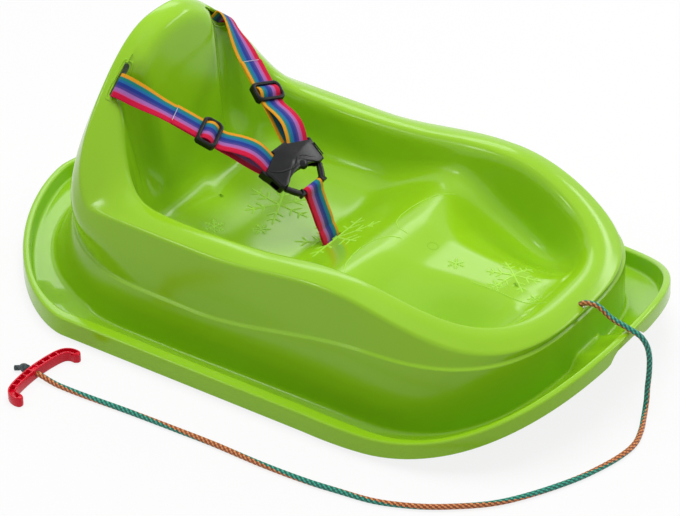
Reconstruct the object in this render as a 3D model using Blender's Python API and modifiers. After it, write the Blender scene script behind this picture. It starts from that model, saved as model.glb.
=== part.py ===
"""A child's pull sled of moulded plastic with a webbing harness and a tow rope.

Metres, +Z up. X runs along the sled with the nose at +X, Y runs across it, and z = 0 is the ground
that the runners rest on. Every piece is one named object in the collection baby_sled.
"""
import math

import bmesh
import bpy
import numpy as np
from mathutils import Matrix, Vector

# Overall sizes
LENGTH = 0.80
HALF_WIDTH = 0.257
WALL = 0.0025
FIT = 0.0003

# Ends of the pan
TAIL = -LENGTH / 2
NOSE = LENGTH / 2

# Turned-over lip round the pan
LIP_HEIGHT = 0.027
LIP_ARC = 0.21
LIP_REAR_POWER = 1.55
LIP_FRONT_POWER = 2.65
LIP_NOSE = 0.26
LIP_TAPER = 0.010
LIP_WIDTH_SIDE = 0.015
LIP_WIDTH_END = 0.0085
LIP_LEAN = 0.002
SKIRT_SIDE = 0.023
SKIRT_FRONT = 0.019
SKIRT_NOTCH = 0.008
NOTCH_HALF = 0.035

# Pan floor, its nose that turns up, and the runner channels
PAN_HEIGHT = 0.008
NOSE_RISE = 0.066
NOSE_RISE_LENGTH = 0.186
RUNNER_DEPTH = 0.006
RUNNER_START = 0.203
TUNNEL_HEIGHT = 0.014

# Outside of the tub, from the pan to the rim: insets from the lip's edge
BASE_INSET_SIDE = 0.054
BASE_INSET_TAIL = 0.049
BASE_INSET_NOSE = 0.050
CREASE_HEIGHT = 0.060
CREASE_STEP = 0.030
CREASE_INSET_SIDE = 0.062
CREASE_INSET_TAIL = 0.078
CREASE_INSET_NOSE = 0.055

# Rim of the tub
RIM_INSET_SIDE = 0.071
RIM_INSET_TAIL = 0.164
RIM_INSET_NOSE = 0.053
RIM_BAND = 0.0375
RIM_BAND_TAIL = 0.029
RIM_BAND_NOSE = 0.034
RIM_CROWN = 0.004
RIM_TILT = 0.004
RIM_HEIGHT = 0.133
RIM_SHOULDER = 0.019
RIM_NOSE_DROP = 0.045
BACK_RISE = 0.167
BACK_RISE_IN = 0.152
BACK_ARCH_OUT = (64.0, 1.45)
BACK_ARCH_IN = (72.0, 1.3)
BACK_CORNER = 5.0
BACK_BULGE = 0.011
BULGE_SHARE = 0.62

# Inside of the tub
FOOT_INSET = 0.0125
FOOT_INSET_TAIL = 0.027
FOOT_INSET_NOSE = 0.028
CENTRE_MARGIN = 0.025
SEAT_HEIGHT = 0.062
KNEE_HEIGHT = 0.112
CROTCH_FROM_TAIL = 0.407
KNEE_FROM_CROTCH = 0.096
CHANNEL_FLOOR = 0.058
RIDGE_HALF = 0.018
RIDGE_FLANK = 0.100
RIDGE_DROP = 0.010
GROOVE_DEPTH = 0.009
GROOVE_HALF = 0.026
GROOVE_AT = 0.080

# Corner roundings of the shell's section
LIP_ROUND = 0.004
TRAY_ROUND = 0.004
BASE_ROUND = 0.010
CREASE_ROUND = 0.006
RIM_ROUND_OUT = 0.010
RIM_ROUND_IN = 0.016
FOOT_ROUND = 0.022

# Webbing and the holes in the shell that it runs through
WEB_WIDTH = 0.030
SLOT_LENGTH = WEB_WIDTH + 0.014
SLOT_WIDTH = 0.006
SLOT_ACROSS = 0.0945
CROTCH_SLOT_LENGTH = WEB_WIDTH + 0.006
ROPE_HOLE = 0.008
ROPE_HOLE_BACK = 0.006
ROPE_HOLE_UP = 0.003
ROPE_HOLE_TILT = math.radians(50)

# The webbing's layers, which wrap a bar at this distance from its centre
WEB_THICK = 0.0014
BAR_RADIUS = 0.0025
LAYER = BAR_RADIUS + FIT + WEB_THICK / 2
STRAP_SHIFT = (SLOT_LENGTH - WEB_WIDTH) / 2 - FIT
STRAP_END = 0.016
PLY_HALF = 0.0011
KEEPER_BELOW = 0.007
KEEPER_LENGTH = WEB_WIDTH + 0.016

# Buckle: its own directions run forward and down, across, and out of its face
BUCKLE_BACK = 0.054
BUCKLE_UP = 0.0814
BUCKLE_PITCH = math.radians(34)
BUCKLE_THICK = 0.011
CAVITY_THICK = 0.0064
CAVITY_HALF = 0.0383
WINDOW_BACK = 0.0004
WINDOW_FRONT = 0.0114
MOUTH = 0.016
BAR_BACK = 0.0185
BAR_ACROSS = 0.028
BAR_SLANT = math.radians(22)
NOTCH_SIDE = WEB_WIDTH / 2 + 0.0006
NOTCH_DEEP = 0.0072
LUG_PAST = 0.0036
LUG_WIDTH = 0.0034
LATCH_BAR_AT = 0.033
BLOCK_SIDE = WEB_WIDTH / 2 + 0.0016
BLOCK_WIDTH = 0.0074
PIVOT_AT = 0.030
PIVOT_ACROSS = BLOCK_SIDE + 0.0059
EYE_RADIUS = 0.0034
PRONG_THICK = 0.005

# Strap adjusters, measured along the strap from the buckle's bar
GLIDE_FROM_BAR = 0.076
GLIDE_LENGTH = 0.025
GLIDE_RAIL = 0.004
GLIDE_BAR = 0.004
GLIDE_PLATE = 0.002
TAIL_DOWN = 0.0018
HEM_FROM_BAR = 0.122
UNTWISTED = 0.130

# Tow rope and handle
ROPE_RADIUS = 0.0023
ROPE_POINTS = 84
KNOT_RADIUS = 0.005
HANDLE_X = 0.4155 * TAIL
HANDLE_Y = -1.2977 * HALF_WIDTH
HANDLE_HALF = 0.055
HANDLE_REACH = 0.0275
HANDLE_BAR = 0.010
HANDLE_HEIGHT = 0.013
HANDLE_BOW = 0.0055
POCKET_DEPTH = 0.005
POCKET_WIDTH = 0.0058
POCKETS = 7
POCKET_PITCH = 0.0105
POCKET_RIB = 0.0018


def smooth(low, high, value):
    """Ease from 0 at low to 1 at high."""
    part = np.clip((value - low) / (high - low), 0.0, 1.0)
    return part * part * (3.0 - 2.0 * part)


# Stations round the shell, as shares of the rear quarter, the straight side and the front quarter
REAR_STEPS = 9
SIDE_STEPS = 7
FLOOR_STEPS = 8
FRONT_ANGLES = (90, 82, 74, 66, 58, 50, 43, 36, 29, 22, 15, 9, 4, 0)


def stations():
    """List the half ring's stations as (part, value), from the rear centre to the nose."""
    rows = [("rear", 90.0 * i / REAR_STEPS) for i in range(REAR_STEPS)]
    rows += [("side", i / SIDE_STEPS) for i in range(SIDE_STEPS)]
    rows += [("front", float(a)) for a in FRONT_ANGLES]
    return rows


STATIONS = stations()


def ring(tail, x_rear, half_rear, half_front, x_front, nose, rear_power, front_power=2.8):
    """Give the plan points of half a ring: a rear quarter, a side and a front quarter."""
    points = []
    for part, value in STATIONS:
        if part == "side":
            points.append((x_rear + (x_front - x_rear) * value,
                           half_rear + (half_front - half_rear) * value))
            continue
        power = rear_power if part == "rear" else front_power
        angle = math.radians(value)
        c, s = math.cos(angle), math.sin(angle)
        radius = (abs(c) ** power + abs(s) ** power) ** (-1.0 / power)
        if part == "rear":
            points.append((x_rear - (x_rear - tail) * radius * c, half_rear * radius * s))
        else:
            points.append((x_front + (nose - x_front) * radius * c, half_front * radius * s))
    plan = np.array(points)
    plan[0, 1] = 0.0
    plan[-1, 1] = 0.0
    return plan


def nose_rise(x):
    """Height by which the pan and its lip turn up towards the nose."""
    return NOSE_RISE * np.clip((x - (NOSE - NOSE_RISE_LENGTH)) / NOSE_RISE_LENGTH, 0.0, None) ** 2


def pan_height(plan):
    """Height of the pan's floor, with the runner channels and the raised centre of the nose."""
    x, y = plan[:, 0], np.abs(plan[:, 1])
    runner = smooth(RUNNER_START - 0.004, RUNNER_START + 0.002, y)
    runner = runner * (1.0 - smooth(NOSE - 0.2, NOSE - 0.12, x))
    tunnel = 1.0 - smooth(NOTCH_HALF - 0.012, NOTCH_HALF + 0.004, y)
    tunnel = tunnel * smooth(NOSE - 0.10, NOSE - 0.05, x)
    return PAN_HEIGHT + nose_rise(x) - RUNNER_DEPTH * runner + TUNNEL_HEIGHT * tunnel


def side_rim_height(x):
    """Height of the rim along the sides: a shoulder at the knees, then down to the nose."""
    shoulder = smooth(CROTCH_X - 0.047, CROTCH_X + 0.123, x)
    nose = smooth(NOSE - 0.26, NOSE - 0.05, x)
    return RIM_HEIGHT + RIM_SHOULDER * shoulder - RIM_NOSE_DROP * nose


CROTCH_X = TAIL + CROTCH_FROM_TAIL
KNEE_X = CROTCH_X + KNEE_FROM_CROTCH
WALL_FRONT = NOSE - 0.26


def floor_height(x, y):
    """Height of the seat, the slope up to the knees, the centre ridge and the two leg channels."""
    x, y = np.asarray(x, float), np.abs(np.asarray(y, float))
    bowl = 0.010 * smooth(0.05, 0.14, y) + 0.012 * smooth(CROTCH_X - 0.10, CROTCH_X - 0.20, x)
    seat = SEAT_HEIGHT + bowl
    knee = KNEE_HEIGHT - 0.008 * smooth(KNEE_X, KNEE_X + 0.055, x)
    ridge = knee - RIDGE_DROP * smooth(NOSE - 0.16, NOSE - 0.09, x)
    top = seat + (ridge - seat) * smooth(CROTCH_X - 0.027, KNEE_X, x)
    reach, edge = ridge_edge(x)
    deep = reach * smooth(edge, edge + RIDGE_FLANK, y)
    return top + (CHANNEL_FLOOR - top) * deep


def groove(y, z, x):
    """Depth of the two soft upright grooves in the face of the backrest."""
    across = GROOVE_AT + 0.008 * smooth(0.12, 0.25, z)
    shape = np.clip(1.0 - ((np.abs(y) - across) / GROOVE_HALF) ** 2, 0.0, None) ** 1.5
    height = smooth(SEAT_HEIGHT + 0.03, SEAT_HEIGHT + 0.07, z) * (1.0 - smooth(0.255, 0.285, z))
    return GROOVE_DEPTH * shape * height * (1.0 - smooth(TAIL + 0.22, TAIL + 0.25, x))


def back_arch(end, power):
    """Share of the backrest's rise at each station: 1 at the rear centre, 0 from the end angle on."""
    return np.array([1.0 - float(smooth(0.0, end, v)) ** power if p == "rear" else 0.0 for p, v in STATIONS])


def section_rings():
    """Give the main rings of the half shell as (points, rounding radius, arc steps), outside first."""
    lip = ring(TAIL, TAIL + LIP_ARC, HALF_WIDTH, HALF_WIDTH - LIP_TAPER, NOSE - LIP_NOSE, NOSE,
               LIP_REAR_POWER, LIP_FRONT_POWER)
    base = ring(TAIL + BASE_INSET_TAIL, TAIL + 0.255, HALF_WIDTH - BASE_INSET_SIDE + 0.003,
                HALF_WIDTH - BASE_INSET_SIDE - 0.003, NOSE - 0.25, NOSE - BASE_INSET_NOSE, 2.0)
    crease = ring(TAIL + CREASE_INSET_TAIL, TAIL + 0.275, HALF_WIDTH - CREASE_INSET_SIDE,
                  HALF_WIDTH - CREASE_INSET_SIDE, NOSE - 0.25, NOSE - CREASE_INSET_NOSE, 2.0)
    rim_half = HALF_WIDTH - RIM_INSET_SIDE
    rim_out = ring(TAIL + RIM_INSET_TAIL, TAIL + 0.235, rim_half, rim_half, WALL_FRONT,
                   NOSE - RIM_INSET_NOSE, BACK_CORNER)
    in_half = rim_half - RIM_BAND
    rim_in = ring(TAIL + RIM_INSET_TAIL + RIM_BAND_TAIL, TAIL + 0.265, in_half, in_half,
                  WALL_FRONT - 0.01, NOSE - RIM_INSET_NOSE - RIM_BAND_NOSE, 6.0)
    foot_half = in_half - FOOT_INSET
    foot = ring(TAIL + RIM_INSET_TAIL + RIM_BAND_TAIL + FOOT_INSET_TAIL, TAIL + 0.27, foot_half, foot_half,
                WALL_FRONT - 0.02, NOSE - RIM_INSET_NOSE - RIM_BAND_NOSE - FOOT_INSET_NOSE, 5.0, 2.6)

    lip_z = LIP_HEIGHT + nose_rise(lip[:, 0])
    along = smooth(TAIL + 0.12, TAIL + 0.24, lip[:, 0]) * (1.0 - smooth(NOSE - 0.22, NOSE - 0.10, lip[:, 0]))
    lip_width = LIP_WIDTH_END + (LIP_WIDTH_SIDE - LIP_WIDTH_END) * along
    front = smooth(NOSE - 0.25, NOSE - 0.10, lip[:, 0])
    skirt = SKIRT_SIDE + (SKIRT_FRONT - SKIRT_SIDE) * front
    notch = (1.0 - smooth(NOTCH_HALF - 0.012, NOTCH_HALF + 0.004, lip[:, 1])) * front
    skirt = skirt + (SKIRT_NOTCH - skirt) * notch
    inward = inward_normals(lip)
    lip_in = lip + inward * lip_width[:, None]
    tray = lip + inward * (lip_width + LIP_LEAN)[:, None]
    skirt_foot = lip - inward * 0.001
    base_mid = 0.5 * (tray + base)

    out_z = side_rim_height(rim_out[:, 0]) + BACK_RISE * back_arch(*BACK_ARCH_OUT)
    in_z = side_rim_height(rim_in[:, 0]) + RIM_TILT + BACK_RISE_IN * back_arch(*BACK_ARCH_IN)
    crown = 0.5 * (rim_out + rim_in)
    crown_z = 0.5 * (out_z + in_z) + RIM_CROWN
    bulge = crease + (rim_out - crease) * BULGE_SHARE
    back = smooth(TAIL + 0.26, TAIL + 0.16, bulge[:, 0])
    bulge = bulge - inward_normals(bulge) * (BACK_BULGE * back)[:, None]
    crease_z = CREASE_HEIGHT + CREASE_STEP * smooth(CROTCH_X - 0.057, CROTCH_X + 0.193, crease[:, 0])
    return [
        (join(skirt_foot, lip_z - skirt), 0.0, 0),
        (join(lip, lip_z), LIP_ROUND, 2),
        (join(lip_in, lip_z), LIP_ROUND, 2),
        (join(tray, pan_height(tray)), TRAY_ROUND, 2),
        (join(base_mid, pan_height(base_mid)), 0.0, 0),
        (join(base, pan_height(base)), BASE_ROUND, 2),
        (join(crease, crease_z), CREASE_ROUND, 2),
        (join(bulge, crease_z + (out_z - crease_z) * BULGE_SHARE), 0.0, 0),
        (join(rim_out, out_z), RIM_ROUND_OUT, 3),
        (join(crown, crown_z), 0.0, 0),
        (join(rim_in, in_z), RIM_ROUND_IN, 4),
        (join(foot, floor_height(foot[:, 0], foot[:, 1])), FOOT_ROUND, 3),
    ]


def join(plan, height):
    """Put a height to each plan point."""
    return np.column_stack([plan, height])


def inward_normals(plan):
    """Unit vectors that point into the ring, square to its outline."""
    before = np.vstack([plan[1] * (1, -1), plan[:-1]])
    after = np.vstack([plan[1:], plan[-2] * (1, -1)])
    along = after - before
    normal = np.column_stack([along[:, 1], -along[:, 0]])
    return normal / np.linalg.norm(normal, axis=1)[:, None]


def round_corner(before, corner, after, radius, steps):
    """Replace a corner by an even quadratic arc between points short of it on both sides."""
    back, ahead = before - corner, after - corner
    long_back, long_ahead = np.linalg.norm(back), np.linalg.norm(ahead)
    start = corner + back * min(radius / long_back, 0.45)
    end = corner + ahead * min(radius / long_ahead, 0.45)
    shares = [i / steps for i in range(steps + 1)]
    return [start * (1 - t) ** 2 + corner * 2 * t * (1 - t) + end * t * t for t in shares]


def section(rings, station, wall_steps=2):
    """Give one station's section from the skirt's edge to the centre line of the floor."""
    corners = [points[station] for points, _, _ in rings]
    line = [corners[0]]
    for i in range(1, len(rings)):
        before = corners[i - 1]
        corner = corners[i]
        after = corners[i + 1] if i + 1 < len(rings) else floor_ahead(corner, station)
        _, radius, steps = rings[i]
        if i == len(rings) - 1:
            top = line[-1]
            start = corner + (before - corner) * min(radius / np.linalg.norm(before - corner), 0.45)
            for k in range(1, wall_steps + 1):
                line.append(top + (start - top) * k / (wall_steps + 1))
        if steps:
            line += round_corner(before, corner, after, radius, steps)
        else:
            line.append(corner)
    for point in line:
        if point[0] < TAIL + 0.25:
            point[0] -= groove(point[1], point[2], point[0]) * inner_side(point, corners)
    end = centre_target(corners[-1], station)
    start = line[-1]
    for k in range(1, FLOOR_STEPS + 1):
        share = k / FLOOR_STEPS
        x = start[0] + (end[0] - start[0]) * share
        y = start[1] * (1.0 - share)
        line.append(np.array([x, y, floor_height(x, y)]))
    return line


def ridge_edge(x):
    """Give how far the leg channels reach at a place along the sled, and the ridge's half width there."""
    reach = smooth(KNEE_X - 0.030, KNEE_X + 0.135, x)
    return reach, RIDGE_HALF + 0.012 * (1.0 - reach)


def inner_side(point, corners):
    """Tell the inner wall, where the grooves lie, from the outer one."""
    return 1.0 if point[0] > 0.5 * (corners[8][0] + corners[10][0]) else 0.0


def centre_target(corner, station):
    """The point of the floor's centre line that a station runs in to."""
    back = TAIL + RIM_INSET_TAIL + RIM_BAND_TAIL + FOOT_INSET_TAIL
    front = NOSE - RIM_INSET_NOSE - RIM_BAND_NOSE - FOOT_INSET_NOSE
    even = station / (len(STATIONS) - 1)
    share = 0.82 * (corner[0] - back) / (front - back) + 0.18 * even
    x = back + CENTRE_MARGIN + (front - back - 2 * CENTRE_MARGIN) * share
    return np.array([x, 0.0, floor_height(x, 0.0)])


def floor_ahead(corner, station):
    """The floor's point a short way in from the wall's foot."""
    x, y, _ = corner + (centre_target(corner, station) - corner) * 0.2
    return np.array([x, y, floor_height(x, y)])


def shell_rows():
    """Give every station's section, with the first and last on the centre plane."""
    rings = section_rings()
    rows = [section(rings, k) for k in range(len(STATIONS))]
    for row in (rows[0], rows[-1]):
        for point in row:
            point[1] = 0.0
    return rows


def material(name, colour, roughness, metallic=0.0):
    """Make a plain Principled material."""
    made = bpy.data.materials.new(name)
    made.use_nodes = True
    shader = made.node_tree.nodes["Principled BSDF"]
    shader.inputs["Base Color"].default_value = (*colour, 1.0)
    shader.inputs["Roughness"].default_value = roughness
    shader.inputs["Metallic"].default_value = metallic
    return made


def new_collection(name):
    """Make a collection in the scene."""
    made = bpy.data.collections.new(name)
    bpy.context.scene.collection.children.link(made)
    return made


def mesh_object(name, points, faces, collection):
    """Make an object from a loft's points and faces."""
    mesh = bpy.data.meshes.new(name)
    mesh.from_pydata([tuple(p) for p in points], [], faces)
    mesh.update()
    obj = bpy.data.objects.new(name, mesh)
    collection.objects.link(obj)
    return obj


def frame(origin, first, second):
    """Make a placement with X along the first direction and Y towards the second."""
    x = Vector(first).normalized()
    z = x.cross(Vector(second)).normalized()
    turn = Matrix((x, z.cross(x), z)).transposed().to_4x4()
    return Matrix.Translation(Vector(origin)) @ turn


def solid_from_curve(name, curve, place, collection):
    """Turn a curve into a closed mesh object of its own."""
    outline = bpy.data.objects.new(name + "_line", curve)
    bpy.context.scene.collection.objects.link(outline)
    outline.matrix_world = place
    bpy.context.view_layer.update()
    seen = outline.evaluated_get(bpy.context.evaluated_depsgraph_get())
    mesh = bpy.data.meshes.new_from_object(seen)
    mesh.name = name
    work = bmesh.new()
    work.from_mesh(mesh)
    bmesh.ops.remove_doubles(work, verts=work.verts, dist=0.00001)
    bmesh.ops.dissolve_limit(work, angle_limit=0.01, verts=work.verts, edges=work.edges)
    bmesh.ops.recalc_face_normals(work, faces=work.faces)
    work.to_mesh(mesh)
    work.free()
    solid = bpy.data.objects.new(name, mesh)
    solid.matrix_world = outline.matrix_world
    bpy.data.objects.remove(outline)
    collection.objects.link(solid)
    return solid


def plate(name, outline, thickness, place, collection):
    """Make a flat solid from its outline, half its thickness to each side of its plane."""
    curve = bpy.data.curves.new(name + "_line", "CURVE")
    curve.dimensions = "2D"
    curve.fill_mode = "BOTH"
    curve.extrude = thickness / 2
    spline = curve.splines.new("POLY")
    spline.points.add(len(outline) - 1)
    for point, (x, y) in zip(spline.points, outline):
        point.co = (x, y, 0.0, 1.0)
    spline.use_cyclic_u = True
    return solid_from_curve(name, curve, place, collection)


def box(name, low, high, place, collection):
    """Make a box between two corners of its own placement."""
    mesh = bpy.data.meshes.new(name)
    work = bmesh.new()
    size = [b - a for a, b in zip(low, high)]
    middle = [(a + b) / 2 for a, b in zip(low, high)]
    bmesh.ops.create_cube(work, size=1.0)
    bmesh.ops.scale(work, vec=size, verts=work.verts)
    bmesh.ops.translate(work, vec=middle, verts=work.verts)
    work.to_mesh(mesh)
    work.free()
    solid = bpy.data.objects.new(name, mesh)
    solid.matrix_world = place
    collection.objects.link(solid)
    return solid


def rod(name, radius, length, sides, place, collection):
    """Make a round bar along the Z of its placement."""
    mesh = bpy.data.meshes.new(name)
    work = bmesh.new()
    bmesh.ops.create_cone(work, cap_ends=True, segments=sides, radius1=radius, radius2=radius, depth=length)
    work.to_mesh(mesh)
    work.free()
    mesh.shade_smooth()
    mesh.set_sharp_from_angle(angle=math.radians(40))
    solid = bpy.data.objects.new(name, mesh)
    solid.matrix_world = place
    collection.objects.link(solid)
    return solid


def rounded(obj, width, segments=2):
    """Round an object's sharp edges."""
    bevel = obj.modifiers.new("rounded edges", "BEVEL")
    bevel.width = width
    bevel.segments = segments
    bevel.limit_method = "ANGLE"
    bevel.angle_limit = math.radians(40)


def combine(obj, other, operation):
    """Cut another object out of this one or join it on."""
    other.hide_render = True
    other.display_type = "WIRE"
    boolean = obj.modifiers.new(other.name, "BOOLEAN")
    boolean.operation = operation
    boolean.object = other


def smooth_path(points, count, tight=(0.0, 0.0)):
    """Read a smooth curve through hand-chosen points, with closer steps along its tight ends."""
    ends = [points[0] * 2 - points[1]] + list(points) + [points[-1] * 2 - points[-2]]
    dense = []
    for a, b, c, d in zip(ends, ends[1:], ends[2:], ends[3:]):
        for step in range(12):
            t = step / 12
            dense.append(0.5 * (b * 2 + (c - a) * t + (a * 2 - b * 5 + c * 4 - d) * t ** 2
                                + (b * 3 - a - c * 3 + d) * t ** 3))
    dense.append(points[-1].copy())
    reach = np.cumsum([0.0] + [(q - p).length for p, q in zip(dense, dense[1:])])
    stride = np.ones(len(reach))
    for length, distance in zip(tight, (reach, reach[-1] - reach)):
        if length:
            stride *= 0.35 + 0.65 * smooth(0.4 * length, length, distance)
    pace = np.append(0.0, np.cumsum(np.diff(reach) / stride[1:]))
    marks = np.linspace(0.0, pace[-1], count)
    line = np.array([np.interp(marks, pace, [p[i] for p in dense]) for i in range(3)]).T
    return [Vector(p) for p in line]


def tube(name, line, swell, place, collection):
    """Make a round cord along a line, with its thickness at each point as a multiple of the rope's."""
    curve = bpy.data.curves.new(name + "_line", "CURVE")
    curve.dimensions = "3D"
    curve.bevel_depth = ROPE_RADIUS
    curve.bevel_resolution = 2
    curve.use_fill_caps = True
    spline = curve.splines.new("POLY")
    spline.points.add(len(line) - 1)
    for point, place_on, size in zip(spline.points, line, swell):
        point.co = (*place_on, 1.0)
        point.radius = size
    cord = bpy.data.objects.new(name, curve)
    cord.matrix_world = place
    collection.objects.link(cord)
    return cord


def ribbon(name, line, ways, closed, collection):
    """Lay a band of webbing along a line, with the direction of its width at each point."""
    points = []
    for point, way in zip(line, ways):
        points += [point - way * (WEB_WIDTH / 2), point + way * (WEB_WIDTH / 2)]
    count = len(line)
    faces = []
    for i in range(count if closed else count - 1):
        j = (i + 1) % count
        faces.append((2 * i, 2 * i + 1, 2 * j + 1, 2 * j))
    band = mesh_object(name, points, faces, collection)
    wall = band.modifiers.new("webbing", "SOLIDIFY")
    wall.thickness = WEB_THICK
    wall.offset = 0.0
    wall.use_even_offset = True
    return band


def crotch_slot():
    """Give the crotch slot's centre and the floor's normal there."""
    height = float(floor_height(CROTCH_X, 0.0))
    climb = float(floor_height(CROTCH_X + 0.004, 0.0) - floor_height(CROTCH_X - 0.004, 0.0)) / 0.008
    return Vector((CROTCH_X, 0.0, height)), Vector((-climb, 0.0, 1.0)).normalized()


def shoulder_slot(side):
    """Give a shoulder slot's centre, its long way, its way across the rim and the rim's normal."""
    rings = section_rings()
    outer, crown, inner = rings[8][0], rings[9][0], rings[10][0]
    k = int(np.argmax(crown[:, 1] > SLOT_ACROSS)) - 1
    share = (SLOT_ACROSS - crown[k, 1]) / (crown[k + 1, 1] - crown[k, 1])
    middle = crown[k] + (crown[k + 1] - crown[k]) * share
    band = inner - outer
    across = band[k] + (band[k + 1] - band[k]) * share
    along = Vector(crown[k + 1] - crown[k]).normalized()
    normal = Vector(across).cross(along).normalized()
    if normal.z < 0.0:
        normal = -normal
    over = along.cross(normal)
    if over.x < 0.0:
        over = -over
    flip = Matrix.Scale(side, 3, (0.0, 1.0, 0.0)) if side < 0 else Matrix.Identity(3)
    return [flip @ v for v in (Vector(middle), along, over, normal)]


def buckle_point(forward, across, out=0.0):
    """Turn the buckle's own measures into a point."""
    level = float(floor_height(CROTCH_X, 0.0)) + BUCKLE_UP
    return Vector((CROTCH_X - BUCKLE_BACK, 0.0, level)) + FORWARD * forward + ACROSS * across + OUT * out


FORWARD = Vector((math.cos(BUCKLE_PITCH), 0.0, -math.sin(BUCKLE_PITCH)))
ACROSS = Vector((0.0, 1.0, 0.0))
OUT = Vector((math.sin(BUCKLE_PITCH), 0.0, math.cos(BUCKLE_PITCH)))


def strap_frame(side):
    """Give a strap's bar, the direction along it, the direction of its width and its upper side."""
    bar = buckle_point(-BAR_BACK, side * BAR_ACROSS)
    width = FORWARD * math.sin(BAR_SLANT) + ACROSS * (side * math.cos(BAR_SLANT))
    edge = rim_crossing(side)[-1]
    upper = OUT.copy()
    for _ in range(4):
        along = edge - (bar - upper * LAYER)
        along = (along - width * along.dot(width)).normalized()
        upper = along.cross(width).normalized()
        if upper.dot(OUT) < 0.0:
            upper = -upper
    return bar, along, width, upper


def rim_crossing(side):
    """Give the strap's line up through its slot and over the rim's inner edge."""
    slot, along, over, normal = shoulder_slot(side)
    middle = slot + along * STRAP_SHIFT
    steps = ((0.0, -0.003), (0.0, 0.001), (0.0012, 0.0024), (0.0036, 0.0031), (0.0075, 0.0034),
             (0.012, 0.003))
    return [middle + over * a + normal * b for a, b in steps]


def hidden_run(side, t):
    """Give a point and width of the belt inside the rim, from a slot at 0 to the centre at 1."""
    _, along, _, normal = shoulder_slot(side)
    start = rim_crossing(side)[0]
    end = Vector((start.x, 0.0, start.z - abs(start.y) * 0.33))
    pull = (end - start).length
    place = (start * (2 * t ** 3 - 3 * t ** 2 + 1) - normal * (pull * (t ** 3 - 2 * t ** 2 + t))
             + end * (3 * t ** 2 - 2 * t ** 3) - ACROSS * (side * pull * (t ** 3 - t ** 2)))
    run = ((end - start) * (6 * t - 6 * t ** 2) - normal * (pull * (3 * t ** 2 - 4 * t + 1))
           - ACROSS * (side * pull * (3 * t ** 2 - 2 * t))).normalized()
    way = along * (1.0 - t) + Vector((0.0, 0.0, -1.0)) * t
    return place, (way - run * way.dot(run)).normalized()


def squared(line, ways, kept):
    """Turn the width directions square to their line, apart from the first few, which are so already."""
    made = ways[:kept]
    for i in range(kept, len(line)):
        way = ways[i]
        run = line[min(i + 1, len(line) - 1)] - line[max(i - 1, 0)]
        run.normalize()
        made.append((way - run * way.dot(run)).normalized())
    return made


def hidden_join(side):
    """Give the share of the hidden run that the strap takes, and the gap's share after it."""
    start = rim_crossing(side)[0]
    return STRAP_END / abs(start.y), (FIT + 0.0001) / abs(start.y)


def strap_line(side):
    """Give the centre line and widths of a shoulder strap, from inside the rim to its hem."""
    _, slot_way, _, _ = shoulder_slot(side)
    bar, along, width, upper = strap_frame(side)
    share, _ = hidden_join(side)
    line, ways = [], []
    for k in range(5):
        place, way = hidden_run(side, share * (1.0 - k / 5))
        line.append(place)
        ways.append(way)
    crossing = rim_crossing(side)
    line += crossing
    ways += [slot_way] * len(crossing)
    lower = bar - upper * LAYER
    start, stop = crossing[-1], lower + along * UNTWISTED
    for k in range(1, 9):
        share = k / 8
        line.append(start.lerp(stop, share))
        ways.append(slot_way.lerp(width, float(smooth(0.0, 1.0, share))))
    for distance in (0.09, 0.045, 0.0):
        line.append(lower + along * distance)
    for k in range(1, 8):
        turn = math.pi * k / 8
        line.append(bar - along * (LAYER * math.sin(turn)) - upper * (LAYER * math.cos(turn)))
    rise = [(0.0, LAYER), (0.012, 0.0052), (0.025, 0.0056), (0.040, 0.0035), (0.054, -0.0003),
            (GLIDE_FROM_BAR - 0.0145, -TAIL_DOWN), (GLIDE_FROM_BAR + 0.006, -TAIL_DOWN)]
    back = smooth_path([bar + along * a + upper * b for a, b in rise], 18)
    line += back + [bar + along * HEM_FROM_BAR - upper * TAIL_DOWN]
    ways += [width] * (len(line) - len(ways))
    return line, squared(line, ways, 5)


def back_run_line():
    """Give the hidden run of the belt from the left strap's end to the right one's."""
    share, gap = hidden_join(1)
    line, ways = [], []
    for side, order in ((1, range(10)), (-1, range(9, -1, -1))):
        for k in order:
            place, way = hidden_run(side, share + gap + (1.0 - share - gap) * k / 9.5)
            line.append(place)
            ways.append(way)
    return line, ways


def crotch_line():
    """Give the closed line of the crotch strap, round the latch's bar and round its keeper."""
    slot, _ = crotch_slot()
    top = buckle_point(LATCH_BAR_AT, 0.0)
    down = (slot - top).normalized()
    out = Vector((-down.z, 0.0, down.x))
    length = (slot - top).length
    low = length + KEEPER_BELOW
    side = [(0.003, 0.0032), (0.006, 0.0022), (0.010, 0.0013), (0.014, PLY_HALF), (length * 0.6, PLY_HALF),
            (length + 0.0026, PLY_HALF), (length + 0.0042, 0.0021), (low - 0.0015, 0.0032)]
    turns = np.linspace(0, math.pi, 9)
    line = [top + out * (LAYER * math.cos(a)) - down * (LAYER * math.sin(a)) for a in turns]
    line += [top + down * a - out * b for a, b in side]
    foot = top + down * low
    line += [foot - out * (LAYER * math.cos(a)) + down * (LAYER * math.sin(a)) for a in turns]
    line += [top + down * a + out * b for a, b in reversed(side)]
    return line, foot


def rope_hole():
    """Give the rope hole's place on the rim's front rounding and its direction outwards."""
    corner = section_rings()[8][0][-1]
    place = Vector((corner[0] - ROPE_HOLE_BACK, 0.0, corner[2] + ROPE_HOLE_UP))
    return place, Vector((math.cos(ROPE_HOLE_TILT), 0.0, math.sin(ROPE_HOLE_TILT)))


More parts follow.
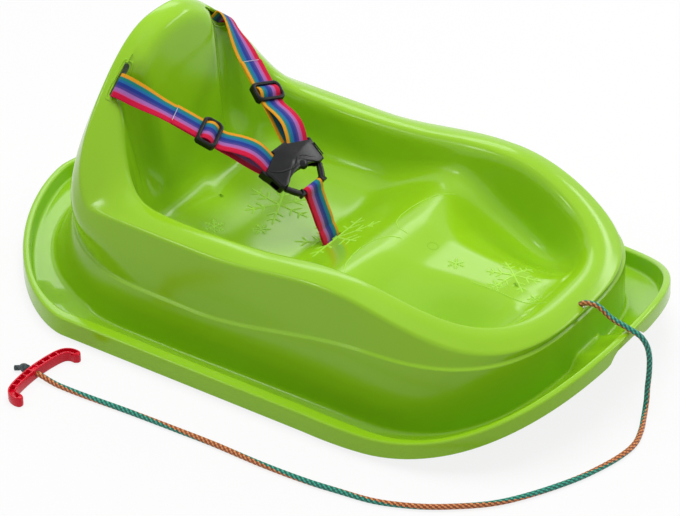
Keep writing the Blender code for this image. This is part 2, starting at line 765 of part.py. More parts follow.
def housing_outline():
    """Give the housing's outline: lugs that hold the two bars, sides and a mouth with an arch."""
    run = Vector((math.sin(BAR_SLANT), math.cos(BAR_SLANT)))
    out = Vector((-run.y, run.x))
    bar = Vector((-BAR_BACK, BAR_ACROSS))
    inner, outer = bar - run * NOTCH_SIDE, bar + run * NOTCH_SIDE
    lug_in, lug_out = inner + out * LUG_PAST, outer + out * LUG_PAST
    side = [lug_in, inner - out * NOTCH_DEEP, outer - out * NOTCH_DEEP, lug_out,
            lug_out + run * LUG_WIDTH, (-0.0085, 0.0460), (-0.002, 0.0437), (0.006, 0.0423),
            (0.0125, 0.0415), (MOUTH, 0.0402), (MOUTH, 0.030), (0.0135, 0.0268), (0.0115, 0.0235),
            (0.0098, 0.018), (0.0082, 0.0115), (0.0072, 0.005)]
    points = [(float(x), float(y)) for x, y in side]
    return points + [(x, -y) for x, y in reversed(points)]


def prong_outline(side):
    """Give a prong's outline from its eye: an arm, and the pad that its window shows."""
    turns = np.radians(np.linspace(54, -142, 9))
    eye = [(PIVOT_AT + EYE_RADIUS * math.cos(a), PIVOT_ACROSS + EYE_RADIUS * math.sin(a)) for a in turns]
    points = eye + [(0.0190, 0.0272), (0.0130, 0.0312), (0.008, 0.0334), (0.0012, 0.0352), (0.0012, 0.0394),
                    (0.0016, 0.0402), (0.005, 0.0392), (0.011, 0.0379), (0.015, 0.0356), (0.0219, 0.0313)]
    return [(x - PIVOT_AT, side * (y - PIVOT_ACROSS)) for x, y in points]


def handle_outline():
    """Give the handle's outline from above: a bowed bar whose two ends hook towards the sled."""
    bar, end, reach = HANDLE_BAR / 2, HANDLE_HALF, HANDLE_REACH
    side = [(-bar, 0.010), (-bar + HANDLE_BOW * 0.3, 0.024), (-bar + HANDLE_BOW, end - 0.014),
            (0.006, end - 0.004), (0.012, end), (reach - 0.003, end - 0.0015), (reach, end - 0.005),
            (reach - 0.003, end - 0.009), (0.015, end - 0.010), (0.0095, end - 0.014),
            (bar + 0.001, end - 0.026), (bar, 0.010)]
    return side + [(x, -y) for x, y in reversed(side)]


def make_shell(parts):
    """Loft half the shell through its sections, mirror it and give it its wall."""
    rows = shell_rows()
    count = len(rows[0])
    points = [p for row in rows for p in row]
    faces = []
    for i in range(len(rows) - 1):
        for j in range(count - 1):
            a = i * count + j
            faces.append((a, a + 1, a + count + 1, a + count))
    shell = mesh_object("sled_shell", points, faces, parts)
    mirror = shell.modifiers.new("both sides", "MIRROR")
    mirror.use_axis = (False, True, False)
    mirror.use_mirror_merge = True
    mirror.merge_threshold = 0.0001
    wall = shell.modifiers.new("wall", "SOLIDIFY")
    wall.thickness = WALL
    wall.offset = -1.0
    wall.use_even_offset = True
    return shell


def pierce_shell(shell, cutters):
    """Cut the strap slots and the rope hole, and trim the runners flat on the ground."""
    for side, name in ((1, "left"), (-1, "right")):
        slot, along, over, _ = shoulder_slot(side)
        size = (SLOT_LENGTH / 2, SLOT_WIDTH / 2, 0.012)
        cutter = box(name + "_shoulder_slot", [-v for v in size], size, frame(slot, along, over), cutters)
        combine(shell, cutter, "DIFFERENCE")
    slot, normal = crotch_slot()
    size = (SLOT_WIDTH / 2, CROTCH_SLOT_LENGTH / 2, 0.010)
    place = frame(slot, ACROSS.cross(normal), ACROSS)
    combine(shell, box("crotch_slot", [-v for v in size], size, place, cutters), "DIFFERENCE")
    place, way = rope_hole()
    hole = rod("rope_hole", ROPE_HOLE / 2, 0.018, 16, frame(place, ACROSS.cross(way), ACROSS), cutters)
    combine(shell, hole, "DIFFERENCE")
    low = (TAIL - 0.1, -HALF_WIDTH - 0.1, -0.02)
    high = (NOSE + 0.1, HALF_WIDTH + 0.1, 0.0)
    combine(shell, box("ground_cut", low, high, Matrix.Identity(4), cutters), "DIFFERENCE")


def make_belts(parts, colour):
    """Lay the shoulder straps, the hidden run between them and the crotch strap."""
    for side, name in ((1, "left"), (-1, "right")):
        line, ways = strap_line(side)
        ribbon(name + "_shoulder_strap", line, ways, False, parts).data.materials.append(colour)
    line, ways = back_run_line()
    ribbon("shoulder_belt_back_run", line, ways, False, parts).data.materials.append(colour)
    line, foot = crotch_line()
    ribbon("crotch_strap", line, [ACROSS] * len(line), True, parts).data.materials.append(colour)
    return foot


def make_glide(name, side, parts, cutters):
    """Make a strap adjuster: two rails, two bars over the webbing and one bar under it."""
    bar, along, width, upper = strap_frame(side)
    middle = bar + along * GLIDE_FROM_BAR
    over = -TAIL_DOWN + WEB_THICK / 2 + 0.0004
    under = -LAYER - WEB_THICK / 2 - 0.0004
    long, wide = GLIDE_LENGTH / 2, WEB_WIDTH / 2 + 0.0005 + GLIDE_RAIL
    outline = [(-long, 0.003 - wide), (0.003 - long, -wide), (long - 0.003, -wide), (long, 0.003 - wide)]
    outline += [(x, -y) for x, y in reversed(outline)]
    thick = over - under + 2 * GLIDE_PLATE
    across = upper.cross(along)
    glide = plate(name, outline, thick, frame(middle + upper * ((over + under) / 2), along, across), parts)
    rounded(glide, 0.0009)
    window, centre = long - GLIDE_BAR, GLIDE_BAR / 2
    room = [(-0.02, over), (-window, over), (-window, 0.012), (window, 0.012), (window, over), (0.02, over),
            (0.02, -0.014), (centre, -0.014), (centre, under), (-centre, under), (-centre, -0.014),
            (-0.02, -0.014)]
    passage = plate(name + "_passage", room, WEB_WIDTH + 0.001, frame(middle, along, upper), cutters)
    combine(glide, passage, "DIFFERENCE")
    return glide


def make_housing(parts, cutters):
    """Make the buckle's housing with its two strap bars, its cavity and its side windows."""
    flat = frame(buckle_point(0.0, 0.0), FORWARD, ACROSS)
    housing = plate("buckle_housing", housing_outline(), BUCKLE_THICK, flat, parts)
    rounded(housing, 0.0010)
    for side, name in ((1, "left"), (-1, "right")):
        bar, _, width, _ = strap_frame(side)
        strap_bar = rod(name + "_strap_bar", BAR_RADIUS, 2 * (NOTCH_SIDE + 0.0014), 16,
                        frame(bar, OUT, width.cross(OUT)), cutters)
        combine(housing, strap_bar, "UNION")
    room = [(WINDOW_BACK, 0.05), (WINDOW_FRONT, 0.05), (WINDOW_FRONT, CAVITY_HALF), (0.02, CAVITY_HALF)]
    room += [(x, -y) for x, y in reversed(room)]
    combine(housing, plate("buckle_cavity", room, CAVITY_THICK, flat, cutters), "DIFFERENCE")
    return housing


def make_latch(parts, cutters):
    """Make the latch's bar with a block at each end that holds a prong's eye."""
    across = frame(buckle_point(LATCH_BAR_AT, 0.0), FORWARD, OUT)
    latch = rod("buckle_latch", BAR_RADIUS, 2 * (BLOCK_SIDE + 0.0015), 16, across, parts)
    for side, name in ((1, "left"), (-1, "right")):
        spots = sorted((side * BLOCK_SIDE, side * (BLOCK_SIDE + BLOCK_WIDTH)))
        low, high = (PIVOT_AT - 0.002, spots[0], -0.004), (0.0365, spots[1], 0.004)
        flat = frame(buckle_point(0.0, 0.0), FORWARD, ACROSS)
        block = box(name + "_latch_block", low, high, flat, cutters)
        rounded(block, 0.0008, 1)
        combine(latch, block, "UNION")
    for side, name in ((1, "left"), (-1, "right")):
        pivot = frame(buckle_point(PIVOT_AT, side * PIVOT_ACROSS), FORWARD, ACROSS)
        combine(latch, rod(name + "_eye_room", EYE_RADIUS + FIT, 0.02, 20, pivot, cutters), "DIFFERENCE")
    return latch


def make_prong(name, side, latch, parts):
    """Make a sprung prong, turned about its eye."""
    pivot = frame(buckle_point(PIVOT_AT, side * PIVOT_ACROSS), FORWARD, ACROSS)
    prong = plate(name, prong_outline(side), PRONG_THICK, pivot, parts)
    rounded(prong, 0.0005, 1)
    prong.parent = latch
    prong.matrix_parent_inverse = latch.matrix_world.inverted()
    return prong


def make_rope(parts):
    """Lay the tow rope from its knot inside the nose, over the lip and along the ground to the handle."""
    hole, way = rope_hole()
    ground = ROPE_RADIUS + FIT
    lip = LIP_HEIGHT + float(nose_rise(NOSE)) + ROPE_RADIUS + 2 * FIT
    route = [hole - way * 0.0031, hole + way * 0.002, hole + way * 0.0055 + Vector((0.003, 0.0, 0.0)),
             hole + Vector((0.020, 0.001, 0.0045)), (NOSE - 0.022, 0.002, lip + 0.008),
             (NOSE - 0.002, 0.004, lip + 0.0015), (NOSE + 0.013, 0.007, lip - 0.006),
             (NOSE + 0.021, 0.010, lip - 0.022), (NOSE + 0.024, 0.010, 0.052), (NOSE + 0.024, 0.009, 0.026),
             (NOSE + 0.027, 0.003, 0.008), (NOSE + 0.032, -0.010, ground)]
    route += [(x * NOSE, -y * HALF_WIDTH, ground) for x, y in (
        (1.102, 0.117), (1.122, 0.230), (1.117, 0.342), (1.095, 0.471), (1.062, 0.603), (1.005, 0.770),
        (0.945, 0.903), (0.868, 1.012), (0.785, 1.101), (0.685, 1.171), (0.583, 1.202), (0.480, 1.226),
        (0.345, 1.241), (0.193, 1.245), (0.058, 1.257), (-0.087, 1.272), (-0.230, 1.292), (-0.320, 1.2996))]
    height = HANDLE_HEIGHT / 2
    route += [(HANDLE_X + 0.021, HANDLE_Y, 0.0045), (HANDLE_X + 0.010, HANDLE_Y, height),
              (HANDLE_X, HANDLE_Y, height), (HANDLE_X - HANDLE_BAR / 2, HANDLE_Y, height)]
    line = smooth_path([Vector(p) for p in route], ROPE_POINTS, (0.09, 0.05))
    for point in line:
        point.z = max(point.z, ground)
    rope = tube("tow_rope", line, [1.0] * len(line), Matrix.Identity(4), parts)
    swell = KNOT_RADIUS / ROPE_RADIUS
    back = hole - way * (KNOT_RADIUS + 0.0035)
    steps = ((-1.0, 0.45), (-0.8, 0.75), (-0.4, 0.95), (0.0, 1.0), (0.4, 0.95), (0.8, 0.7), (1.1, 0.46),
             (2.2, 0.46))
    knot = tube("tow_rope_knot", [back - way * (KNOT_RADIUS * a) for a, _ in steps],
                [swell * b for _, b in steps], Matrix.Identity(4), parts)
    start = Vector((HANDLE_X - HANDLE_BAR / 2 - FIT - 0.0003 - KNOT_RADIUS, HANDLE_Y, height))
    line = [start - Vector((KNOT_RADIUS * a, 0.0, 0.0)) for a, _ in steps[:7]]
    line += [start + Vector((-0.010, -0.001, -0.0022)), start + Vector((-0.0145, -0.003, ground - height))]
    sizes = [swell * b for _, b in steps[:7]] + [1.0, 1.0]
    tail = tube("tow_handle_knot", line, sizes, Matrix.Identity(4), parts)
    return rope, knot, tail


def make_handle(parts, cutters):
    """Make the tow handle with the pockets of its channel and the hole for the rope."""
    place = Matrix.Translation((HANDLE_X, HANDLE_Y, HANDLE_HEIGHT / 2))
    handle = plate("tow_handle", handle_outline(), HANDLE_HEIGHT, place, parts)
    rounded(handle, 0.0012)
    lengthwise = place @ Matrix.Rotation(math.pi / 2, 4, "Y")
    hole = rod("handle_hole", ROPE_RADIUS + FIT, 0.03, 12, lengthwise, cutters)
    combine(handle, hole, "DIFFERENCE")
    for k in range(POCKETS):
        middle = (k - (POCKETS - 1) / 2) * POCKET_PITCH
        length = POCKET_PITCH / 2 - POCKET_RIB / 2
        bow = HANDLE_BOW * min(abs(middle) / HANDLE_HALF, 1.0) ** 2 * 0.6
        floor = HANDLE_HEIGHT / 2 - (POCKET_DEPTH if k != POCKETS // 2 else 0.0022)
        low = (bow - POCKET_WIDTH / 2, middle - length, floor)
        high = (bow + POCKET_WIDTH / 2, middle + length, HANDLE_HEIGHT)
        combine(handle, box("handle_pocket_%d" % k, low, high, place, cutters), "DIFFERENCE")
    for side, name in ((1, "left"), (-1, "right")):
        turn = place @ Matrix.Translation((0.0125, side * (HANDLE_HALF - 0.0065), 0.0))
        turn = turn @ Matrix.Rotation(side * math.radians(12), 4, "Z")
        low = (-0.007, -0.0018, HANDLE_HEIGHT / 2 - POCKET_DEPTH)
        high = (0.010, 0.0018, HANDLE_HEIGHT)
        combine(handle, box(name + "_tip_pocket", low, high, turn, cutters), "DIFFERENCE")
    return handle


def main():
    """Build the whole sled."""
    for obj in list(bpy.data.objects):
        bpy.data.objects.remove(obj)
    parts = new_collection("baby_sled")
    cutters = new_collection("cutters")
    lime = material("lime_plastic", (0.25, 0.52, 0.03), 0.3)
    webbing = material("striped_webbing", (0.25, 0.33, 0.55), 0.8)
    black = material("black_plastic", (0.025, 0.025, 0.03), 0.4)
    steel = material("keeper_steel", (0.55, 0.56, 0.58), 0.35, 1.0)
    cord = material("braided_cord", (0.03, 0.30, 0.33), 0.8)
    red = material("red_plastic", (0.60, 0.02, 0.03), 0.35)

    shell = make_shell(parts)
    pierce_shell(shell, cutters)
    shell.data.materials.append(lime)
    foot = make_belts(parts, webbing)
    keeper = rod("crotch_strap_keeper", BAR_RADIUS, KEEPER_LENGTH, 16,
                 frame(foot, Vector((1.0, 0.0, 0.0)), Vector((0.0, 0.0, 1.0))), parts)
    keeper.data.materials.append(steel)
    for side, name in ((1, "left"), (-1, "right")):
        make_glide(name + "_strap_adjuster", side, parts, cutters).data.materials.append(black)
    make_housing(parts, cutters).data.materials.append(black)
    latch = make_latch(parts, cutters)
    latch.data.materials.append(black)
    for side, name in ((1, "left"), (-1, "right")):
        make_prong(name + "_latch_prong", side, latch, parts).data.materials.append(black)
    for piece in make_rope(parts):
        piece.data.materials.append(cord)
    make_handle(parts, cutters).data.materials.append(red)


main()
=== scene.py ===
"""Looks of a moulded toddler's sled with a striped webbing harness and a tow rope.

Metres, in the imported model's frame: X runs to the nose, Y to the rider's left, and z = 0 is the ground.
"""
import logging
import math
from dataclasses import dataclass
from enum import Enum
from typing import Callable, Sequence

import bpy
import numpy as np
from mathutils import Matrix, Vector
from mathutils.bvhtree import BVHTree


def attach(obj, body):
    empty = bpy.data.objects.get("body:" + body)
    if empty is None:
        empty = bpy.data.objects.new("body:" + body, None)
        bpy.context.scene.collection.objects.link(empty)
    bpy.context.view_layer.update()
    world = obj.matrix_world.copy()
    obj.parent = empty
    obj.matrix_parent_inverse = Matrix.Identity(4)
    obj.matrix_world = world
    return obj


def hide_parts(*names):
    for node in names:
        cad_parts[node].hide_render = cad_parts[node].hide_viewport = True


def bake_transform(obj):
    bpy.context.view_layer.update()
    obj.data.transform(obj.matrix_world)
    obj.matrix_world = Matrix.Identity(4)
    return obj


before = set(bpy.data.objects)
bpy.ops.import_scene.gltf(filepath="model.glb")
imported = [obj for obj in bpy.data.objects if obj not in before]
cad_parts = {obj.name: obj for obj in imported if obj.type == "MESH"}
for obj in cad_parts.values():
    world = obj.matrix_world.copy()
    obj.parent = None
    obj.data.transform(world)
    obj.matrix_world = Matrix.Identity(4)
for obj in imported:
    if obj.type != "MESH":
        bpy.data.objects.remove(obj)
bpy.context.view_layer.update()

log = logging.getLogger("sled")
Socket = bpy.types.NodeSocket
Colour = tuple[float, float, float]
Point = tuple[float, float, float]


class Side(Enum):
    """The rider's left is at +Y, and the right at -Y."""

    LEFT = 1
    RIGHT = -1

    @property
    def word(self) -> str:
        """The side's word in the names of pieces and bodies."""
        return self.name.lower()


class Quarter(Enum):
    """The three stretches of half a ring round the tub."""

    REAR = "rear"
    SIDE = "side"
    FRONT = "front"


def smooth(low: float, high: float, value: np.ndarray | float) -> np.ndarray:
    """Ease from 0 at low to 1 at high.

    Args:
        low: where the easing starts.
        high: where it ends.
        value: the places to read.

    Returns:
        The share at each place.
    """
    part = np.clip((value - low) / (high - low), 0.0, 1.0)
    return part * part * (3.0 - 2.0 * part)


def linear(red: int, green: int, blue: int) -> Colour:
    """Turn a colour of 0 to 255 parts into the shader's linear one."""
    parts = [part / 255 for part in (red, green, blue)]
    return tuple(((part + 0.055) / 1.055) ** 2.4 if part > 0.04 else part / 12.92 for part in parts)


# Finishes


class Graph:
    """A material's nodes, laid out by short calls."""

    def __init__(self, name: str) -> None:
        """Start a material with a plain Principled shader."""
        self.material = bpy.data.materials.new(name)
        self.material.use_nodes = True
        self.tree = self.material.node_tree
        self.shader = self.tree.nodes["Principled BSDF"]

    def give(self, socket: Socket, value: Socket | float | tuple) -> None:
        """Link a socket to another one, or set its plain value.

        Args:
            socket: the input.
            value: the output that it is linked to, or its number or colour.
        """
        if isinstance(value, bpy.types.NodeSocket):
            self.tree.links.new(value, socket)
        elif isinstance(value, tuple) and len(value) == 3 and socket.type == "RGBA":
            socket.default_value = (*value, 1.0)
        else:
            socket.default_value = value

    def math(self, operation: str, *values: Socket | float) -> Socket:
        """Add a Math node and give its result.

        Args:
            operation: the node's operation.
            values: its inputs.

        Returns:
            The node's output.
        """
        node = self.tree.nodes.new("ShaderNodeMath")
        node.operation = operation
        for socket, value in zip(node.inputs, values):
            self.give(socket, value)
        return node.outputs[0]

    def mix(self, share: Socket | float, first: Socket | Colour, second: Socket | Colour) -> Socket:
        """Add a colour mix and give its result.

        Args:
            share: the share of the second colour.
            first: the first colour.
            second: the second one.

        Returns:
            The node's output.
        """
        node = self.tree.nodes.new("ShaderNodeMix")
        node.data_type = "RGBA"
        for socket, value in zip((node.inputs[0], node.inputs[6], node.inputs[7]), (share, first, second)):
            self.give(socket, value)
        return node.outputs[2]

    def ramp(self, share: Socket, stops: Sequence[tuple[float, Colour]]) -> Socket:
        """Add a colour ramp with its stops and give its colour.

        Args:
            share: the place on the ramp.
            stops: each stop's place and colour.

        Returns:
            The ramp's colour.
        """
        node = self.tree.nodes.new("ShaderNodeValToRGB")
        self.give(node.inputs[0], share)
        bar = node.color_ramp
        while len(bar.elements) < len(stops):
            bar.elements.new(1.0)
        for element, (place, colour) in zip(bar.elements, stops):
            element.position = place
            element.color = (*colour, 1.0)
        return node.outputs[0]

    def noise(self, scale: float, detail: float) -> Socket:
        """Add a noise texture over the object's own coordinates and give its value.

        Args:
            scale: how fine the noise is.
            detail: how many finer layers it has.

        Returns:
            The noise from 0 to 1.
        """
        node = self.tree.nodes.new("ShaderNodeTexNoise")
        node.inputs["Scale"].default_value = scale
        node.inputs["Detail"].default_value = detail
        self.give(node.inputs["Vector"], self.tree.nodes.new("ShaderNodeTexCoord").outputs["Object"])
        return node.outputs[0]

    def along(self) -> tuple[Socket, Socket]:
        """Give the two parts of the piece's own UV map."""
        parts = self.tree.nodes.new("ShaderNodeSeparateXYZ")
        self.give(parts.inputs[0], self.tree.nodes.new("ShaderNodeTexCoord").outputs["UV"])
        return parts.outputs[0], parts.outputs[1]

    def wave(self, value: Socket, period: float) -> Socket:
        """Give a cosine of a value, from 0 to 1."""
        turn = self.math("COSINE", self.math("MULTIPLY", value, 2 * math.pi / period))
        return self.math("MULTIPLY_ADD", turn, 0.5, 0.5)

    def set(self, **values: float) -> None:
        """Set the shader's plain values, named with low lines for spaces."""
        for name, value in values.items():
            self.shader.inputs[name.replace("_", " ")].default_value = value

    def bump(self, height: Socket, distance: float) -> None:
        """Raise the surface by a height of up to a distance.

        Args:
            height: the height from 0 to 1.
            distance: what a height of 1 stands for, in metres.
        """
        node = self.tree.nodes.new("ShaderNodeBump")
        node.inputs["Distance"].default_value = distance
        node.inputs["Strength"].default_value = 1.0
        self.give(node.inputs["Height"], height)
        self.give(self.shader.inputs["Normal"], node.outputs[0])


@dataclass(frozen=True)
class MouldedPlastic:
    """Moulded plastic: a slightly mottled colour, a fine skin and faint scuffs in its gloss."""

    name: str
    colour: Colour
    shade: Colour
    roughness: tuple[float, float]
    grain: float
    depth: float
    shine: float = 0.5

    def make(self) -> bpy.types.Material:
        """Build the material.

        Returns:
            The material.
        """
        graph = Graph(self.name)
        cloud = graph.noise(9.0, 3.0)
        graph.give(graph.shader.inputs["Base Color"], graph.mix(cloud, self.shade, self.colour))
        low, high = self.roughness
        scuff = graph.noise(70.0, 5.0)
        graph.give(graph.shader.inputs["Roughness"], graph.math("MULTIPLY_ADD", scuff, high - low, low))
        graph.bump(graph.noise(self.grain, 3.0), self.depth)
        graph.set(Specular_IOR_Level=self.shine)
        return graph.material


@dataclass(frozen=True)
class StripedWebbing:
    """Woven webbing whose stripes run along it, over a UV map with its width from 0 to 1, with painted shade
    in the gaps of its weave.
    """

    name: str
    stripes: tuple[tuple[float, Colour], ...]
    rib: float
    yarns: float
    fade: float = 0.012

    def make(self) -> bpy.types.Material:
        """Build the material.

        Returns:
            The material.
        """
        graph = Graph(self.name)
        across, along = graph.along()
        stray = graph.math("MULTIPLY_ADD", graph.noise(900.0, 1.0), self.fade, -self.fade / 2)
        stops = [self.stripes[0]]
        for place, colour in self.stripes[1:]:
            stops += [(place - self.fade, stops[-1][1]), (place + self.fade, colour)]
        colour = graph.ramp(graph.math("ADD", across, stray), stops)
        count = graph.math("ROUND", graph.math("MULTIPLY", across, self.yarns))
        column = graph.math("MULTIPLY", count, math.pi)
        turn = graph.math("ADD", graph.math("MULTIPLY", along, 2 * math.pi / self.rib), column)
        rib = graph.math("MULTIPLY_ADD", graph.math("COSINE", turn), 0.5, 0.5)
        yarn = graph.wave(across, 1.0 / self.yarns)
        swell = graph.math("POWER", yarn, 0.5)
        height = graph.math("MULTIPLY", graph.math("MULTIPLY_ADD", rib, 0.7, 0.3), swell)
        # Painted shade: the stripes' colour darkens towards black in the low gaps between ribs and yarns, by
        # the weave's height.
        dark = graph.mix(0.55, colour, (0.0, 0.0, 0.0))
        shaded = graph.mix(graph.math("POWER", height, 0.6), dark, colour)
        graph.give(graph.shader.inputs["Base Color"], shaded)
        graph.set(Roughness=0.7, Specular_IOR_Level=0.25, Sheen_Weight=0.05, Sheen_Roughness=0.4)
        graph.bump(height, 0.00028)
        return graph.material


@dataclass(frozen=True)
class BraidedCord:
    """A braid of two colours, one on each side, that turns slowly along the cord, with painted shade between
    its strands.
    """

    name: str
    first: tuple[Colour, Colour]
    second: tuple[Colour, Colour]
    turn: float = 0.26
    strand: float = 0.0062
    strands: float = 4.0

    def make(self) -> bpy.types.Material:
        """Build the material.

        Returns:
            The material.
        """
        graph = Graph(self.name)
        around, along = graph.along()
        lap = graph.math("MULTIPLY", along, 1.0 / self.strand)
        circle = graph.math("MULTIPLY", around, self.strands)
        rise = graph.wave(graph.math("ADD", circle, lap), 1.0)
        fall = graph.wave(graph.math("SUBTRACT", circle, lap), 1.0)
        over = graph.math("GREATER_THAN", rise, fall)
        half = graph.wave(graph.math("ADD", around, graph.math("MULTIPLY", along, 1.0 / self.turn)), 1.0)
        edge = graph.math("MULTIPLY_ADD", rise, 0.2, -0.1)
        side = graph.math("GREATER_THAN", graph.math("ADD", half, edge), 0.5)
        first = graph.mix(over, self.first[0], self.first[1])
        second = graph.mix(over, self.second[0], self.second[1])
        colour = graph.mix(side, first, second)
        height = graph.math("MAXIMUM", rise, fall)
        # Painted shade: the colour darkens towards black in the low grooves between strands, by the braid's
        # height.
        deep = graph.mix(0.75, colour, (0.0, 0.0, 0.0))
        shaded = graph.mix(graph.math("POWER", height, 0.8), deep, colour)
        graph.give(graph.shader.inputs["Base Color"], shaded)
        graph.set(Roughness=0.6, Sheen_Weight=0.2)
        graph.bump(graph.math("ADD", height, graph.noise(2500.0, 1.0)), 0.00015)
        return graph.material


LIME = MouldedPlastic("lime_plastic", linear(147, 199, 32), linear(141, 193, 20),
                      roughness=(0.13, 0.21), grain=500.0, depth=0.00003, shine=0.36)
# Painted highlight: this paler lime stands in for the highlights on the raised snow crystals and the glints
# along the thin floor beads; its rougher frosted skin is real.
FROST_AND_GLINT_LIME = MouldedPlastic("frost_and_glint_lime_plastic", linear(168, 220, 74), linear(160, 214, 62),
                              roughness=(0.42, 0.55), grain=900.0, depth=0.00004)
BLACK = MouldedPlastic("black_plastic", linear(15, 16, 18), linear(10, 11, 12),
                       roughness=(0.16, 0.28), grain=1500.0, depth=0.00003, shine=0.26)
RED = MouldedPlastic("red_plastic", linear(222, 6, 44), linear(206, 4, 36),
                     roughness=(0.20, 0.32), grain=900.0, depth=0.00003, shine=0.26)
THREAD = MouldedPlastic("stitch_thread", linear(205, 205, 215), linear(190, 190, 205),
                        roughness=(0.6, 0.7), grain=3000.0, depth=0.00002)
STEEL = MouldedPlastic("keeper_steel", linear(190, 192, 196), linear(175, 177, 182),
                       roughness=(0.3, 0.4), grain=1800.0, depth=0.00002)
WEBBING = StripedWebbing(
    "striped_webbing",
    ((0.0, linear(244, 168, 30)), (0.14, linear(20, 140, 128)), (0.25, linear(34, 116, 176)),
     (0.36, linear(32, 58, 150)), (0.50, linear(78, 66, 150)), (0.60, linear(172, 112, 190)),
     (0.71, linear(206, 96, 168)), (0.78, linear(222, 12, 66))),
    rib=0.0016, yarns=26.0)
CORD = BraidedCord("braided_cord", (linear(12, 96, 84), linear(60, 176, 150)),
                   (linear(150, 70, 26), linear(232, 150, 90)))
DARK_CORD = BraidedCord("dark_cord_end", (linear(24, 44, 46), linear(50, 74, 76)),
                        (linear(34, 34, 38), linear(62, 60, 62)))


# Shaping helpers


def alone(obj: bpy.types.Object) -> None:
    """Select one object only and make it active."""
    bpy.ops.object.select_all(action="DESELECT")
    obj.select_set(True)
    bpy.context.view_layer.objects.active = obj


def finish_modifiers(obj: bpy.types.Object) -> None:
    """Apply an object's modifiers in their order."""
    alone(obj)
    for modifier in list(obj.modifiers):
        bpy.ops.object.modifier_apply(modifier=modifier.name)


def settle(obj: bpy.types.Object) -> bpy.types.Object:
    """Put an object's place, turn and size into its mesh."""
    alone(obj)
    bpy.ops.object.transform_apply(location=True, rotation=True, scale=True)
    return obj


def circle(count: int) -> list[float]:
    """Give the angles of a number of even steps round a circle, with the first one again at the end."""
    return [2 * math.pi * k / count for k in range(count + 1)]


def edit(obj: bpy.types.Object, weld: float = 0.0, turn_out: bool = False) -> None:
    """Weld a mesh's points that are near each other, turn its faces outwards, or do both.

    Args:
        obj: the piece.
        weld: the distance within which points become one, or 0.
        turn_out: whether faces are turned outwards.
    """
    alone(obj)
    bpy.ops.object.mode_set(mode="EDIT")
    bpy.ops.mesh.select_all(action="SELECT")
    if weld:
        bpy.ops.mesh.remove_doubles(threshold=weld)
    if turn_out:
        bpy.ops.mesh.normals_make_consistent(inside=False)
    bpy.ops.object.mode_set(mode="OBJECT")


def soft_edges(obj: bpy.types.Object, degrees: float) -> None:
    """Shade a piece smooth but for its sharp edges."""
    alone(obj)
    bpy.ops.object.shade_smooth_by_angle(angle=math.radians(degrees))


def dress(obj: bpy.types.Object, finish: bpy.types.Material, body: str = "") -> bpy.types.Object:
    """Give a piece its material and its body.

    Args:
        obj: the piece.
        finish: its material.
        body: the body that it rides on, or nothing for a piece that is given no body.

    Returns:
        The piece.
    """
    obj.data.materials.clear()
    obj.data.materials.append(finish)
    if body:
        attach(obj, body)
    log.info("%s rides on %s, %d faces", obj.name, body or "two bodies", len(obj.data.polygons))
    return obj


def surface(name: str, rows: Sequence[Sequence[Vector]], welded: bool = True,
            uv: bool = False) -> bpy.types.Object:
    """Lay a grid primitive's points on the given rows.

    Args:
        name: the piece's name.
        rows: one row of points for each step along it.
        welded: whether points that meet, where rows or their ends join, become one.
        uv: whether the piece gets a UV map with its rows' length in metres.

    Returns:
        The surface as a new object.
    """
    bpy.ops.object.select_all(action="DESELECT")
    across = len(rows[0])
    bpy.ops.mesh.primitive_grid_add(x_subdivisions=across - 1, y_subdivisions=len(rows) - 1, size=1.0)
    made = bpy.context.active_object
    made.name = name
    made.data.name = name
    flat = np.array([tuple(p) for row in rows for p in row], float)
    made.data.vertices.foreach_set("co", flat.ravel())
    if uv:
        middle = flat.reshape(len(rows), across, 3).mean(1)
        reach = np.concatenate([[0.0], np.cumsum(np.linalg.norm(np.diff(middle, axis=0), axis=1))])
        layer = made.data.uv_layers[0].data
        for loop in made.data.loops:
            row, column = divmod(loop.vertex_index, across)
            layer[loop.index].uv = (column / (across - 1), reach[row])
    if welded:
        edit(made, weld=0.00001)
    made.data.update()
    return made


def tube(first: int, rings: int, size: int) -> list[tuple[int, ...]]:
    """Give the faces of a capped tube.

    Args:
        first: the index of its first point, with the others in order after it.
        rings: how many rings it has.
        size: how many points a ring has.

    Returns:
        The faces as indices of their points.
    """
    faces = []
    for ring in range(rings - 1):
        for j in range(size):
            a, b = first + ring * size + j, first + ring * size + (j + 1) % size
            faces.append((a, b, b + size, a + size))
    last = first + (rings - 1) * size
    return faces + [tuple(reversed(range(first, first + size))), tuple(range(last, last + size))]


def solid(name: str, points: Sequence[Vector], faces: Sequence[tuple[int, ...]]) -> bpy.types.Object:
    """Make an object of points and faces.

    Args:
        name: the object's name.
        points: its points.
        faces: each face as the indices of its points.

    Returns:
        The object, linked to the scene.
    """
    mesh = bpy.data.meshes.new(name)
    mesh.from_pydata([tuple(p) for p in points], [], faces)
    made = bpy.data.objects.new(name, mesh)
    bpy.context.scene.collection.objects.link(made)
    return made


def complete(piece: bpy.types.Object, degrees: float, finish: bpy.types.Material, body: str,
             node: str = "") -> bpy.types.Object:
    """Turn a closed piece's faces out, shade it smooth and dress it.

    Args:
        piece: the piece.
        degrees: the least angle of an edge that stays sharp.
        finish: its material.
        body: the body that it rides on.
        node: the CAD node that it stands for, if any.

    Returns:
        The piece.
    """
    edit(piece, turn_out=True)
    soft_edges(piece, degrees)
    dress(piece, finish, body)
    if node:
        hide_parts(node)
    return piece


def placed(origin: Vector, first: Vector, second: Vector) -> Matrix:
    """Make a placement with X along the first direction and Y towards the second.

    Args:
        origin: the placement's origin.
        first: the direction of its X.
        second: a direction that its Y leans towards.

    Returns:
        The placement's matrix.
    """
    x = Vector(first).normalized()
    z = x.cross(Vector(second)).normalized()
    return Matrix.Translation(Vector(origin)) @ Matrix((x, z.cross(x), z)).transposed().to_4x4()


